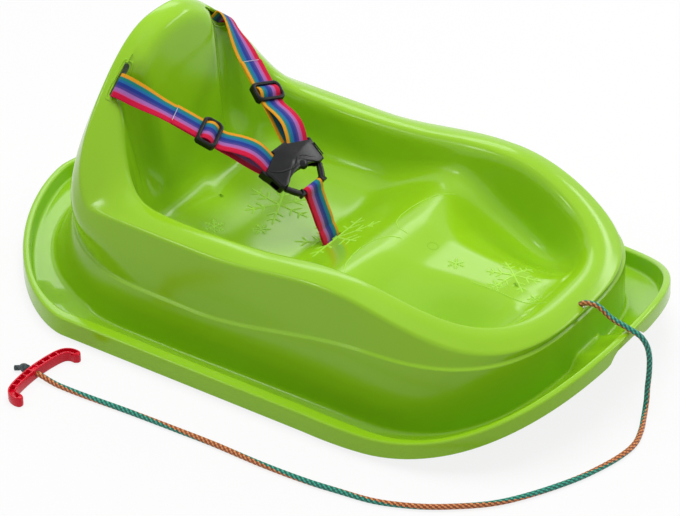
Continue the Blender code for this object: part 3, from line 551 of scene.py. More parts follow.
def eased(points: Sequence[Vector], step: float) -> tuple[list[Vector], list[float]]:
    """Run a smooth curve through uneven points without overshoot.

    Args:
        points: the points that it passes.
        step: the longest step between its own points.

    Returns:
        The curve's points, and the place of each among the given ones.
    """
    legs = [b - a for a, b in zip(points, points[1:])]
    sizes = [max(leg.length, 1e-9) for leg in legs]
    ways = [legs[0].normalized()]
    for i in range(1, len(points) - 1):
        before, after = legs[i - 1] / sizes[i - 1], legs[i] / sizes[i]
        ways.append((before * sizes[i] + after * sizes[i - 1]).normalized())
    ways.append(legs[-1].normalized())
    made, marks = [], []
    for i, size in enumerate(sizes):
        count = max(1, math.ceil(size / step))
        for k in range(count):
            t = k / count
            start = points[i] * (2 * t ** 3 - 3 * t ** 2 + 1) + ways[i] * (size * (t ** 3 - 2 * t ** 2 + t))
            end = points[i + 1] * (3 * t ** 2 - 2 * t ** 3) + ways[i + 1] * (size * (t ** 3 - t ** 2))
            made.append(start + end)
            marks.append(i + t)
    made.append(points[-1].copy())
    marks.append(float(len(points) - 1))
    return made, marks


def squircle(turn: float, power: float) -> tuple[float, float]:
    """Give a point of a rounded square that reaches 1 each way, power 1 being a circle and 0 a square."""
    c, s = math.cos(turn), math.sin(turn)
    return math.copysign(abs(c) ** power, c), math.copysign(abs(s) ** power, s)


def swept(name: str, line: Sequence[Vector], up: Vector, wide: float, high: float, closed: bool = False,
          power: float = 2.6) -> bpy.types.Object:
    """Sweep a rounded section along a line.

    Args:
        name: the piece's name.
        line: the centre line, in close steps.
        up: the direction of the section's height.
        wide: the section's width.
        high: its height.
        closed: whether the line joins its own end.
        power: how square the section is, 2 being an ellipse.

    Returns:
        The closed piece, not yet dressed.
    """
    rows, count = [], len(line)
    ring = [squircle(turn, 2 / power) for turn in circle(20)]
    for i, place in enumerate(line):
        before = line[(i - 1) % count] if closed else line[max(i - 1, 0)]
        after = line[(i + 1) % count] if closed else line[min(i + 1, count - 1)]
        run = (after - before).normalized()
        side = run.cross(up).normalized()
        top = side.cross(run)
        rows.append([place + side * (u * wide / 2) + top * (v * high / 2) for u, v in ring])
    if closed:
        rows.append([p.copy() for p in rows[0]])
    else:
        for end, step in ((0, 1), (-1, -1)):
            run = (line[end] - line[end + step]).normalized()
            rings = [[line[end] + run * (0.5 * high * a) + (p - line[end]) * b for p in rows[end]]
                     for a, b in ((0.22, 0.9), (0.38, 0.62), (0.45, 0.0))]
            rows = rings[::-1] + rows if end == 0 else rows + rings
    return surface(name, rows)


def smooth_path(points: Sequence[Vector], count: int,
                tight: tuple[float, float] = (0.0, 0.0)) -> list[Vector]:
    """Read a smooth curve through given points, with closer steps along its tight ends.

    Args:
        points: the points that the curve passes.
        count: how many points to read.
        tight: the length of the close steps at each end.

    Returns:
        The points read.
    """
    ends = [points[0] * 2 - points[1]] + list(points) + [points[-1] * 2 - points[-2]]
    dense = []
    for a, b, c, d in zip(ends, ends[1:], ends[2:], ends[3:]):
        for step in range(12):
            t = step / 12
            dense.append(0.5 * (b * 2 + (c - a) * t + (a * 2 - b * 5 + c * 4 - d) * t ** 2
                                + (b * 3 - a - c * 3 + d) * t ** 3))
    dense.append(points[-1].copy())
    reach = np.cumsum([0.0] + [(q - p).length for p, q in zip(dense, dense[1:])])
    stride = np.ones(len(reach))
    for length, distance in zip(tight, (reach, reach[-1] - reach)):
        if length:
            stride *= 0.35 + 0.65 * smooth(0.4 * length, length, distance)
    pace = np.append(0.0, np.cumsum(np.diff(reach) / stride[1:]))
    marks = np.linspace(0.0, pace[-1], count)
    line = np.array([np.interp(marks, pace, [p[i] for p in dense]) for i in range(3)]).T
    return [Vector(p) for p in line]


# The tub's form


def bent(start: np.ndarray, corner: np.ndarray, end: np.ndarray, steps: int) -> list[np.ndarray]:
    """Give the points of a quadratic arc from a start to an end, drawn towards a corner."""
    shares = [i / steps for i in range(steps + 1)]
    return [start * (1 - t) ** 2 + corner * 2 * t * (1 - t) + end * t * t for t in shares]


def short_of(corner: np.ndarray, other: np.ndarray, radius: float) -> np.ndarray:
    """Give the point at a radius from a corner on the way to another point, but not past its middle."""
    way = other - corner
    return corner + way * min(radius / np.linalg.norm(way), 0.45)


@dataclass(frozen=True)
class Rounding:
    """One main ring of the tub: its points, its corner radius and the steps of its arc."""

    points: np.ndarray
    radius: float
    steps: int


@dataclass(frozen=True)
class TubForm:
    """The moulded tub's sizes, in metres, and the surface that they give."""

    length: float = 0.80
    half_width: float = 0.257
    wall: float = 0.0025
    lip_height: float = 0.027
    nose_lift: float = 0.066
    nose_lift_length: float = 0.186
    pan: float = 0.008
    crotch_from_tail: float = 0.407
    knee_from_crotch: float = 0.096
    seat: float = 0.062
    knee: float = 0.112
    channel: float = 0.058
    slot_across: float = 0.0945
    rim_height: float = 0.133
    rim_shoulder: float = 0.019
    rim_fall: float = 0.045
    back_rise: float = 0.167
    inner_back_rise: float = 0.152
    crown_rise: float = 0.004
    bulge_share: float = 0.62
    crease_height: float = 0.058
    crease_climb: float = 0.040
    ridge_half: float = 0.018
    groove_depth: float = 0.015
    groove_across: float = 0.080
    groove_half: float = 0.026

    @property
    def tail(self) -> float:
        """The rear end's X."""
        return -self.length / 2

    @property
    def nose(self) -> float:
        """The front end's X."""
        return self.length / 2

    @property
    def crotch_x(self) -> float:
        """The crotch slot's X."""
        return self.tail + self.crotch_from_tail

    @property
    def knee_x(self) -> float:
        """The X of the hump's top."""
        return self.crotch_x + self.knee_from_crotch

    def coarse(self) -> list[tuple[Quarter, float]]:
        """List the stations that the frame's own shell has.

        Returns:
            Each station's quarter and its angle or share.
        """
        front = (90, 82, 74, 66, 58, 50, 43, 36, 29, 22, 15, 9, 4, 0)
        rows = [(Quarter.REAR, 90.0 * i / 9) for i in range(9)]
        rows += [(Quarter.SIDE, i / 7) for i in range(7)]
        return rows + [(Quarter.FRONT, float(a)) for a in front]

    def fine(self) -> list[tuple[Quarter, float]]:
        """List close stations, for the surface that is seen.

        Returns:
            Each station's quarter and its angle or share.
        """
        rows = [(Quarter.REAR, 90.0 * i / 40) for i in range(40)]
        rows += [(Quarter.SIDE, i / 34) for i in range(34)]
        return rows + [(Quarter.FRONT, 90.0 * (1.0 - i / 48) ** 1.15) for i in range(49)]

    def ring(self, stations: Sequence[tuple[Quarter, float]], tail: float, x_rear: float, half_rear: float,
             half_front: float, x_front: float, nose: float, rear_power: float,
             front_power: float = 2.8) -> np.ndarray:
        """Give the plan points of half a ring: a rear quarter, a side and a front quarter.

        Args:
            stations: where to read it.
            tail: the rear end's X.
            x_rear: where the rear quarter meets the side.
            half_rear: the half width there.
            half_front: the half width where the side meets the front quarter.
            x_front: the X of that place.
            nose: the front end's X.
            rear_power: how square the rear quarter is, 2 being an ellipse.
            front_power: how square the front one is.

        Returns:
            The points from the rear centre to the front one.
        """
        points = []
        for part, value in stations:
            if part is Quarter.SIDE:
                points.append((x_rear + (x_front - x_rear) * value,
                               half_rear + (half_front - half_rear) * value))
                continue
            power = rear_power if part is Quarter.REAR else front_power
            c, s = math.cos(math.radians(value)), math.sin(math.radians(value))
            radius = (abs(c) ** power + abs(s) ** power) ** (-1.0 / power)
            if part is Quarter.REAR:
                points.append((x_rear - (x_rear - tail) * radius * c, half_rear * radius * s))
            else:
                points.append((x_front + (nose - x_front) * radius * c, half_front * radius * s))
        plan = np.array(points)
        plan[0, 1] = 0.0
        plan[-1, 1] = 0.0
        return plan

    def nose_rise(self, x: np.ndarray | float) -> np.ndarray:
        """Height by which the pan and its lip turn up towards the nose."""
        start = self.nose - self.nose_lift_length
        return self.nose_lift * np.clip((x - start) / self.nose_lift_length, 0.0, None) ** 2

    def pan_height(self, plan: np.ndarray) -> np.ndarray:
        """Height of the pan's floor, with the runner channels and the raised centre of the nose.

        Args:
            plan: the plan points to read.

        Returns:
            The height at each.
        """
        x, y = plan[:, 0], np.abs(plan[:, 1])
        runner = smooth(0.199, 0.205, y) * (1.0 - smooth(self.nose - 0.2, self.nose - 0.12, x))
        tunnel = (1.0 - smooth(0.023, 0.039, y)) * smooth(self.nose - 0.10, self.nose - 0.05, x)
        return self.pan + self.nose_rise(x) - 0.006 * runner + 0.014 * tunnel

    def side_rim_height(self, x: np.ndarray) -> np.ndarray:
        """Height of the rim along the sides: a shoulder at the knees, then down to the nose."""
        shoulder = smooth(self.crotch_x - 0.047, self.crotch_x + 0.123, x)
        fall = smooth(self.nose - 0.26, self.nose - 0.05, x)
        return self.rim_height + self.rim_shoulder * shoulder - self.rim_fall * fall

    def ridge_edge(self, x: np.ndarray | float) -> tuple[np.ndarray, np.ndarray]:
        """Give how far the leg channels reach at a place along the sled, and the ridge's half width."""
        reach = smooth(self.knee_x - 0.030, self.knee_x + 0.135, x)
        return reach, self.ridge_half + 0.012 * (1.0 - reach)

    def floor_height(self, x: np.ndarray | float, y: np.ndarray | float) -> np.ndarray:
        """Height of the seat, the slope up to the knees, the centre ridge and the two leg channels.

        Args:
            x: the places along the sled.
            y: the places across it.

        Returns:
            The height at each place.
        """
        x, y = np.asarray(x, float), np.abs(np.asarray(y, float))
        bowl = 0.010 * smooth(0.05, 0.14, y) + 0.012 * smooth(self.crotch_x - 0.10, self.crotch_x - 0.20, x)
        low = self.seat + bowl
        knee = self.knee - 0.008 * smooth(self.knee_x, self.knee_x + 0.055, x)
        ridge = knee - 0.010 * smooth(self.nose - 0.16, self.nose - 0.09, x)
        top = low + (ridge - low) * smooth(self.crotch_x - 0.027, self.knee_x, x)
        reach, edge = self.ridge_edge(x)
        return top + (self.channel - top) * reach * smooth(edge, edge + 0.100, y)

    def groove(self, x: float, y: float, z: float) -> float:
        """Depth of the two soft upright grooves in the face of the backrest.

        Args:
            x: a place along the sled.
            y: the same place across it.
            z: its height.

        Returns:
            The depth there.
        """
        across = self.groove_across + 0.008 * smooth(0.12, 0.25, z)
        shape = np.clip(1.0 - ((np.abs(y) - across) / self.groove_half) ** 2, 0.0, None) ** 1.5
        height = smooth(self.seat + 0.03, self.seat + 0.07, z) * (1.0 - smooth(0.255, 0.285, z))
        ahead = 1.0 - smooth(self.tail + 0.22, self.tail + 0.25, x)
        return float(self.groove_depth * shape * height * ahead)

    def arch(self, stations: Sequence[tuple[Quarter, float]], end: float, power: float) -> np.ndarray:
        """Share of the backrest's rise at each station: 1 at the rear centre, 0 from the end angle on."""
        return np.array([1.0 - float(smooth(0.0, end, v)) ** power if part is Quarter.REAR else 0.0
                         for part, v in stations])

    def inward(self, plan: np.ndarray) -> np.ndarray:
        """Unit vectors that point into the ring, square to its outline.

        Args:
            plan: the ring's plan points.

        Returns:
            One vector for each point.
        """
        before = np.vstack([plan[1] * (1, -1), plan[:-1]])
        after = np.vstack([plan[1:], plan[-2] * (1, -1)])
        along = after - before
        normal = np.column_stack([along[:, 1], -along[:, 0]])
        return normal / np.linalg.norm(normal, axis=1)[:, None]

    def rim(self, stations: Sequence[tuple[Quarter, float]]) -> tuple[np.ndarray, np.ndarray]:
        """Give the rim's outer and inner edges, before their rear corners are rounded.

        Args:
            stations: where round the tub to read them.

        Returns:
            The points of both edges.
        """
        t, n, half = self.tail, self.nose, self.half_width - 0.071
        outer = self.ring(stations, t + 0.164, t + 0.235, half, half, n - 0.26, n - 0.053, 5.0)
        half -= 0.0375
        inner = self.ring(stations, t + 0.193, t + 0.265, half, half, n - 0.27, n - 0.087, 6.0)
        out_z = self.side_rim_height(outer[:, 0]) + self.back_rise * self.arch(stations, 64.0, 1.45)
        in_z = self.side_rim_height(inner[:, 0]) + self.inner_back_rise * self.arch(stations, 72.0, 1.3)
        return np.column_stack([outer, out_z]), np.column_stack([inner, in_z + 0.004])

    def crown(self, outer: np.ndarray, inner: np.ndarray) -> np.ndarray:
        """Give the line midway between the rim's edges and a little above them."""
        return 0.5 * (outer + inner) + (0.0, 0.0, self.crown_rise)

    def rings(self, stations: Sequence[tuple[Quarter, float]]) -> list[Rounding]:
        """Give the main rings of half the shell, outside first.

        Args:
            stations: where round the tub to read them.

        Returns:
            The rings.
        """
        t, n, w = self.tail, self.nose, self.half_width

        def ring(*sizes: float) -> np.ndarray:
            """Give a ring's plan points at the stations."""
            return self.ring(stations, *sizes)

        lip = ring(t, t + 0.21, w, w - 0.010, n - 0.26, n, 1.55, 2.65)
        base = ring(t + 0.049, t + 0.255, w - 0.051, w - 0.057, n - 0.25, n - 0.050, 2.0)
        crease = ring(t + 0.078, t + 0.275, w - 0.062, w - 0.062, n - 0.25, n - 0.055, 2.0)
        foot_half = w - 0.121
        foot = ring(t + 0.220, t + 0.27, foot_half, foot_half, n - 0.28, n - 0.115, 5.0, 2.6)
        outer, inner = self.rim(stations)

        lip_z = self.lip_height + self.nose_rise(lip[:, 0])
        sides = smooth(t + 0.12, t + 0.24, lip[:, 0]) * (1.0 - smooth(n - 0.22, n - 0.10, lip[:, 0]))
        lip_width = 0.0085 + 0.0065 * sides
        front = smooth(n - 0.25, n - 0.10, lip[:, 0])
        skirt = 0.023 - 0.004 * front
        notch = (1.0 - smooth(0.023, 0.039, lip[:, 1])) * front
        skirt = skirt + (0.008 - skirt) * notch
        inward = self.inward(lip)
        lip_in = lip + inward * lip_width[:, None]
        tray = lip + inward * (lip_width + 0.002)[:, None]
        base_mid = 0.5 * (tray + base)
        climb = smooth(self.crotch_x - 0.057, self.crotch_x + 0.193, crease[:, 0])
        crease_z = self.crease_height + self.crease_climb * climb
        bulge = crease + (outer[:, :2] - crease) * self.bulge_share
        back = smooth(t + 0.26, t + 0.16, bulge[:, 0])
        bulge = bulge - self.inward(bulge) * (0.011 * back)[:, None]
        bulge_z = crease_z + (outer[:, 2] - crease_z) * self.bulge_share
        inner = self.rounder(inner, 60)
        foot = self.rounder(np.column_stack([foot, inner[:, 2]]), 60)[:, :2]
        crown = self.rounder(self.crown(outer, inner), 25)
        ledge = crease - self.inward(crease) * 0.0022
        shelf = crease + self.inward(crease) * 0.0012

        def at(plan: np.ndarray, height: np.ndarray, radius: float = 0.0, steps: int = 0) -> Rounding:
            """Join plan points with their heights."""
            return Rounding(np.column_stack([plan, height]), radius, steps)

        return [
            at(lip - inward * 0.001, lip_z - skirt), at(lip, lip_z, 0.0032, 6), at(lip_in, lip_z, 0.0032, 6),
            at(tray, self.pan_height(tray), 0.004, 6), at(base_mid, self.pan_height(base_mid)),
            at(base, self.pan_height(base), 0.006, 7),
            at(ledge, crease_z - 0.0002, 0.0012, 4), at(shelf, crease_z + 0.0018, 0.0016, 4),
            at(bulge, bulge_z, 0.05, 8),
            Rounding(outer, 0.0045, 8), Rounding(crown, 0.016, 6), Rounding(inner, 0.016, 9),
            at(foot, self.floor_height(foot[:, 0], foot[:, 1]), 0.030, 9)]

    def rounder(self, ring: np.ndarray, times: int) -> np.ndarray:
        """Round a ring's rear corners, in plan and in height, beyond the strap slots.

        Args:
            ring: the ring's points.
            times: how often it is smoothed.

        Returns:
            The rounder ring.
        """
        ring = ring.copy()
        rear = 1.0 - smooth(self.tail + 0.36, self.tail + 0.44, ring[:, 0])
        share = smooth(0.112, 0.135, ring[:, 1]) * rear
        for _ in range(times):
            middle = 0.5 * (ring[:-2] + ring[2:])
            ring[1:-1] += (middle - ring[1:-1]) * share[1:-1, None]
        return ring

    def arc(self, before: np.ndarray, corner: np.ndarray, after: np.ndarray, radius: float,
            steps: int) -> list[np.ndarray]:
        """Replace a corner by an even quadratic arc between points short of it on both sides."""
        return bent(short_of(corner, before, radius), corner, short_of(corner, after, radius), steps)

    def foot_arc(self, before: np.ndarray, corner: np.ndarray, target: np.ndarray,
                 ring: Rounding) -> list[np.ndarray]:
        """Round the foot of the wall so that it runs level with the floor where it meets it.

        Args:
            before: the corner before the foot.
            corner: the foot's corner.
            target: the floor's point that the section runs to.
            ring: the foot's ring, with its radius and steps.

        Returns:
            The arc's points.
        """
        way = (target - corner)[:2]
        way = way / np.linalg.norm(way)

        def floor_at(distance: float) -> np.ndarray:
            """Give the floor's point at a distance from the corner."""
            x, y = corner[:2] + way * distance
            return np.array([x, y, float(self.floor_height(x, y))])

        end = floor_at(ring.radius)
        climb = (floor_at(ring.radius + 0.001)[2] - end[2]) / 0.001
        middle = np.array([*corner[:2], end[2] - climb * ring.radius])
        return bent(short_of(middle, before, ring.radius), middle, end, ring.steps)

    def centre_target(self, corner: np.ndarray, share: float) -> np.ndarray:
        """Give the point of the floor's centre line that a station runs in to.

        Args:
            corner: the station's corner at the foot of the wall.
            share: its share of the way round, from the rear.

        Returns:
            The point.
        """
        back, front = self.tail + 0.220, self.nose - 0.115
        part = 0.5 * (corner[0] - back) / (front - back) + 0.5 * share
        x = back + 0.025 + (front - back - 0.05) * part
        return np.array([x, 0.0, float(self.floor_height(x, 0.0))])

    def section(self, rings: Sequence[Rounding], station: int, share: float) -> list[np.ndarray]:
        """Give one station's fine section from the skirt's edge to the floor's centre line.

        Args:
            rings: the main rings.
            station: the station's number.
            share: its share of the way round, from the rear.

        Returns:
            The section's points.
        """
        corners = [ring.points[station] for ring in rings]
        target = self.centre_target(corners[-1], share)
        splits = (2, 2, 2, 5, 5, 5, 2, 8, 5, 3, 3, 12)
        line = [corners[0]]
        for i in range(1, len(rings)):
            ring = rings[i]
            if i + 1 == len(rings):
                piece = self.foot_arc(corners[i - 1], corners[i], target, ring)
            elif ring.steps:
                piece = self.arc(corners[i - 1], corners[i], corners[i + 1], ring.radius, ring.steps)
            else:
                piece = [corners[i]]
            top, count = line[-1], splits[i - 1]
            line += [top + (piece[0] - top) * k / count for k in range(1, count)] + piece
        for point in line:
            if point[0] < self.tail + 0.25 and point[0] > 0.5 * (corners[9][0] + corners[11][0]):
                point[0] -= self.groove(*point)
        start, count = line[-1], 40
        for k in range(1, count + 1):
            part = k / count
            x, y = start[0] + (target[0] - start[0]) * part, start[1] * (1.0 - part)
            line.append(np.array([x, y, float(self.floor_height(x, y))]))
        return line

    def rows(self) -> list[list[np.ndarray]]:
        """Give every fine station's section, with the first and last on the centre plane.

        Returns:
            The sections' points, from the rear to the front.
        """
        stations = self.fine()
        rings = self.rings(stations)
        rows = [self.section(rings, k, k / (len(stations) - 1)) for k in range(len(stations))]
        for row in (rows[0], rows[-1]):
            for point in row:
                point[1] = 0.0
        return rows

    def shoulder_slot(self, side: Side) -> list[Vector]:
        """Give a shoulder slot's centre, its long way, its way across the rim and the rim's normal.

        Args:
            side: the strap's side.

        Returns:
            The centre and the three directions.
        """
        outer, inner = self.rim(self.coarse())
        crown = self.crown(outer, inner)
        k = int(np.argmax(crown[:, 1] > self.slot_across)) - 1
        share = (self.slot_across - crown[k, 1]) / (crown[k + 1, 1] - crown[k, 1])
        middle = crown[k] + (crown[k + 1] - crown[k]) * share
        band = inner - outer
        across = band[k] + (band[k + 1] - band[k]) * share
        along = Vector(crown[k + 1] - crown[k]).normalized()
        normal = Vector(across).cross(along).normalized()
        if normal.z < 0.0:
            normal = -normal
        over = along.cross(normal)
        if over.x < 0.0:
            over = -over
        flip = Matrix.Scale(side.value, 3, (0.0, 1.0, 0.0)) if side is Side.RIGHT else Matrix.Identity(3)
        return [flip @ v for v in (Vector(middle), along, over, normal)]

    def crotch_slot(self) -> tuple[Vector, Vector]:
        """Give the crotch slot's centre and the floor's normal there.

        Returns:
            The centre and the normal.
        """
        x = self.crotch_x
        climb = float(self.floor_height(x + 0.004, 0.0) - self.floor_height(x - 0.004, 0.0)) / 0.008
        return Vector((x, 0.0, float(self.floor_height(x, 0.0)))), Vector((-climb, 0.0, 1.0)).normalized()

    def rope_hole(self) -> tuple[Vector, Vector]:
        """Give the rope hole's place on the rim's front rounding and its direction outwards.

        Returns:
            The place and the direction.
        """
        corner = self.rim(self.coarse())[0][-1]
        tilt = math.radians(50)
        place = Vector((corner[0] - 0.006, 0.0, corner[2] + 0.003))
        return place, Vector((math.cos(tilt), 0.0, math.sin(tilt)))


FORM = TubForm()


# The tub and what is moulded on it


@dataclass
class Shell:
    """The moulded tub: its skin, its wall, its slots and holes, and the ornaments in its floor."""

    form: TubForm
    finish: bpy.types.Material
    frost_and_glint: bpy.types.Material
    slot_length: float = 0.044
    slot_width: float = 0.006
    crotch_length: float = 0.036
    hole: float = 0.008
    bead: float = 0.0006
    skin: BVHTree | None = None

    def build(self) -> bpy.types.Object:
        """Build the tub and dress it.

        Returns:
            The tub.
        """
        rows = [[Vector(p) for p in row] for row in self.form.rows()]
        shell = surface("sled_shell_moulding", rows, welded=False)
        self.skin = BVHTree.FromPolygons([v.co.copy() for v in shell.data.vertices],
                                         [tuple(f.vertices) for f in shell.data.polygons])
        for place, outline in self.openings():
            self.pierce(shell, place, outline)
        mirror = shell.modifiers.new("both sides", "MIRROR")
        mirror.use_axis = (False, True, False)
        mirror.merge_threshold = 0.00005
        finish_modifiers(shell)
        edit(shell, weld=0.00005, turn_out=True)
        lowest = min(shell.data.polygons, key=lambda f: abs(f.center.x) + abs(f.center.y))
        if lowest.normal.z < 0.0:
            shell.data.flip_normals()
        wall = shell.modifiers.new("wall", "SOLIDIFY")
        wall.thickness = self.form.wall
        wall.offset = -1.0
        finish_modifiers(shell)
        for vertex in shell.data.vertices:
            vertex.co.z = max(vertex.co.z, 0.0)
        soft_edges(shell, 38.0)
        dress(shell, self.finish, "sled")
        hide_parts("sled_shell")
        return shell

    def openings(self) -> list[tuple[Matrix, list[tuple[float, float]]]]:
        """Give the place and outline of the slots and the rope hole in the left half of the skin.

        Returns:
            Each opening's placement, with Z along its axis, and its outline there.
        """
        across = Vector((0.0, 1.0, 0.0))
        slot, along, over, _ = self.form.shoulder_slot(Side.LEFT)
        made = [(placed(slot, along, over), self.slot_outline(self.slot_length))]
        slot, normal = self.form.crotch_slot()
        made.append((placed(slot, across, normal.cross(across)), self.slot_outline(self.crotch_length)))
        place, way = self.form.rope_hole()
        ring = [(self.hole / 2 * math.cos(a), self.hole / 2 * math.sin(a)) for a in circle(20)[:-1]]
        return made + [(placed(place, across.cross(way), across), ring)]

    def slot_outline(self, length: float) -> list[tuple[float, float]]:
        """Give a slot's outline with rounded ends, its long way along X.

        Args:
            length: the slot's length.

        Returns:
            The outline's points, anticlockwise.
        """
        half, end = self.slot_width / 2, length / 2 - self.slot_width / 2
        turns = [math.pi * (k / 6 - 0.5) for k in range(7)]
        front = [(end + half * math.cos(a), half * math.sin(a)) for a in turns]
        return front + [(-x, -y) for x, y in front]

    def pierce(self, skin: bpy.types.Object, place: Matrix, outline: Sequence[tuple[float, float]]) -> None:
        """Cut an opening with a convex outline through the open skin.

        Args:
            skin: the skin.
            place: the opening's place, with Z along its axis.
            outline: its outline in that place, anticlockwise.
        """
        back = place.inverted()
        reach = max(math.hypot(*p) for p in outline) + 0.012
        sides = [(Vector((*a, 0.0)), Vector((b[1] - a[1], a[0] - b[0], 0.0)).normalized())
                 for a, b in zip(outline, [*outline[1:], outline[0]])]
        turn = place.to_3x3()
        for cut in range(len(sides) + 1):
            for face in skin.data.polygons:
                spot = back @ face.center
                near = abs(spot.z) < 0.010 and spot.xy.length < reach
                face.select = near and all((spot - point).dot(out) < 0.0 for point, out in sides[:cut])
            alone(skin)
            bpy.ops.object.mode_set(mode="EDIT")
            bpy.ops.mesh.select_mode(type="FACE")
            if cut < len(sides):
                point, out = sides[cut]
                bpy.ops.mesh.bisect(plane_co=place @ point, plane_no=turn @ out, threshold=0.000001)
            else:
                bpy.ops.mesh.delete(type="FACE")
            bpy.ops.object.mode_set(mode="OBJECT")

    def drop(self, x: float, y: float) -> Vector:
        """Find the floor's skin under a place in plan.

        Args:
            x: the place along the sled.
            y: the place across it.

        Returns:
            The point of the skin.
        """
        hit = self.skin.ray_cast(Vector((x, abs(y), 0.5)), Vector((0.0, 0.0, -1.0)))[0]
        return Vector((x, y, hit.z if hit else float(self.form.floor_height(x, y))))

    def relief(self, name: str, bars: Sequence[tuple[float, float, float, float, float]],
               height: float, finish: bpy.types.Material) -> bpy.types.Object:
        """Raise low rounded bars on the floor.

        Args:
            name: the piece's name.
            bars: each bar's two ends in plan and its width.
            height: how far they stand up.
            finish: their material.

        Returns:
            The bars as one piece.
        """
        points, faces = [], []
        profile = ((-0.5, -0.0006), (-0.34, 0.7 * height), (-0.14, height), (0.14, height),
                   (0.34, 0.7 * height), (0.5, -0.0006))
        for x0, y0, x1, y1, width in bars:
            run = Vector((x1 - x0, y1 - y0))
            side = Vector((-run.y, run.x)).normalized()
            steps = max(2, math.ceil(run.length / 0.002))
            first = len(points)
            for k in range(steps + 1):
                x, y = x0 + run.x * k / steps, y0 + run.y * k / steps
                thin, low = (0.55, 0.3) if k in (0, steps) else (1.0, 1.0)
                for across, up in profile:
                    px, py = x + side.x * across * width * thin, y + side.y * across * width * thin
                    foot = self.drop(px, py)
                    points.append(foot + Vector((0.0, 0.0, up if up < 0.0 else up * low)))
            faces += tube(first, steps + 1, len(profile))
        return complete(solid(name, points, faces), 60.0, finish, "sled")

    def snowflake(self, name: str, x: float, y: float, radius: float, turn: float, width: float) -> None:
        """Raise a plain six-armed snow crystal on the floor.

        Args:
            name: the piece's name.
            x: its centre along the sled.
            y: its centre across it.
            radius: the length of an arm.
            turn: its turn in degrees.
            width: the width of its bars.
        """
        bars = []
        for arm in range(6):
            way = math.radians(turn + 60 * arm)
            tip = (x + radius * math.cos(way), y + radius * math.sin(way))
            bars.append((x, y, *tip, width))
            for share, size in ((0.42, 0.30), (0.70, 0.24)):
                foot = (x + radius * share * math.cos(way), y + radius * share * math.sin(way))
                for lean in (-55, 55):
                    out = way + math.radians(lean)
                    bars.append((*foot, foot[0] + radius * size * math.cos(out),
                                 foot[1] + radius * size * math.sin(out), width * 0.9))
        # The bars' paler colour is partly painted highlight on the raised crystal, partly its rough frosted
        # skin.
        self.relief(name, bars, 0.00055 + 0.06 * width, self.frost_and_glint)

    def ornaments(self) -> None:
        """Raise the snow crystals on the seat, the hump and the ridge, and the fine beads beside them, the
        pale ones being painted highlights for the glints along the ridge's edge and the leg channels' rear
        edges.
        """
        for name, x, y, radius, turn, width in (
                ("seat_large", -0.092, 0.034, 0.044, -5.0, 0.0036),
                ("seat_small", -0.124, -0.052, 0.014, 10.0, 0.0020),
                ("seat_mark", -0.078, -0.022, 0.012, 35.0, 0.0020),
                ("hump_large", 0.012, 0.005, 0.050, 30.0, 0.0034),
                ("ridge_small", 0.181, -0.005, 0.011, 0.0, 0.0015),
                ("front_large", 0.246, 0.013, 0.032, 20.0, 0.0028),
                ("front_small", 0.2405, -0.0155, 0.011, 15.0, 0.0015),
                ("nose_small", 0.288, -0.0105, 0.009, 30.0, 0.0013)):
            self.snowflake("snowflake_" + name, x, y, radius, turn, width)
        # Painted highlights: these thin pale beads stand in for glints along the ridge's near edge and the
        # leg channels' rear edges.
        self.relief("ridge_glint_bead", [(0.214, -0.0250, 0.309, -0.0205, 0.0013)], self.bead, self.frost_and_glint)
        ring = [(0.1414 + 0.0062 * math.cos(a), 0.0084 + 0.0062 * math.sin(a)) for a in circle(16)]
        self.relief("ridge_dimple_rim", [(*p, *q, 0.0026) for p, q in zip(ring, ring[1:])], self.bead,
                    self.finish)
        edge = ((0.105, -0.112), (0.0925, -0.098), (0.083, -0.080), (0.0775, -0.060), (0.0765, -0.040),
                (0.082, -0.022), (0.094, -0.010), (0.109, -0.006))
        for side in Side:
            line = [(x, -y * side.value) for x, y in edge]
            self.relief(side.word + "_channel_glint_bead", [(*p, *q, 0.0016) for p, q in zip(line, line[1:])],
                        self.bead, self.frost_and_glint)

    def slot_collar(self, side: Side) -> None:
        """Raise a soft collar round a shoulder slot.

        Args:
            side: the strap's side.
        """
        slot, along, over, normal = self.form.shoulder_slot(Side.LEFT)
        half, wide = self.slot_length / 2 + 0.0035, self.slot_width / 2 + 0.0035
        rows = []
        for angle in circle(48)[:-1]:
            u, v = (share * reach for share, reach in zip(squircle(angle, 0.42), (half, wide)))
            start = slot + along * u + over * v + normal * 0.03
            hit, lift, _, _ = self.skin.ray_cast(start, -normal)
            foot = hit or start - normal * 0.03
            lift = lift if lift and lift.dot(normal) > 0 else normal
            outer = (along * u / half + over * v / wide).normalized()
            outer = (outer - lift * outer.dot(lift)).normalized()
            rows.append([foot + outer * (0.0016 * math.cos(a)) + lift * (0.0009 * math.sin(a))
                         for a in circle(10)])
        rows.append([p.copy() for p in rows[0]])
        for row in rows:
            for point in row:
                point.y *= side.value
        complete(surface(side.word + "_slot_collar", rows), 60.0, self.finish, "sled")


# Harness


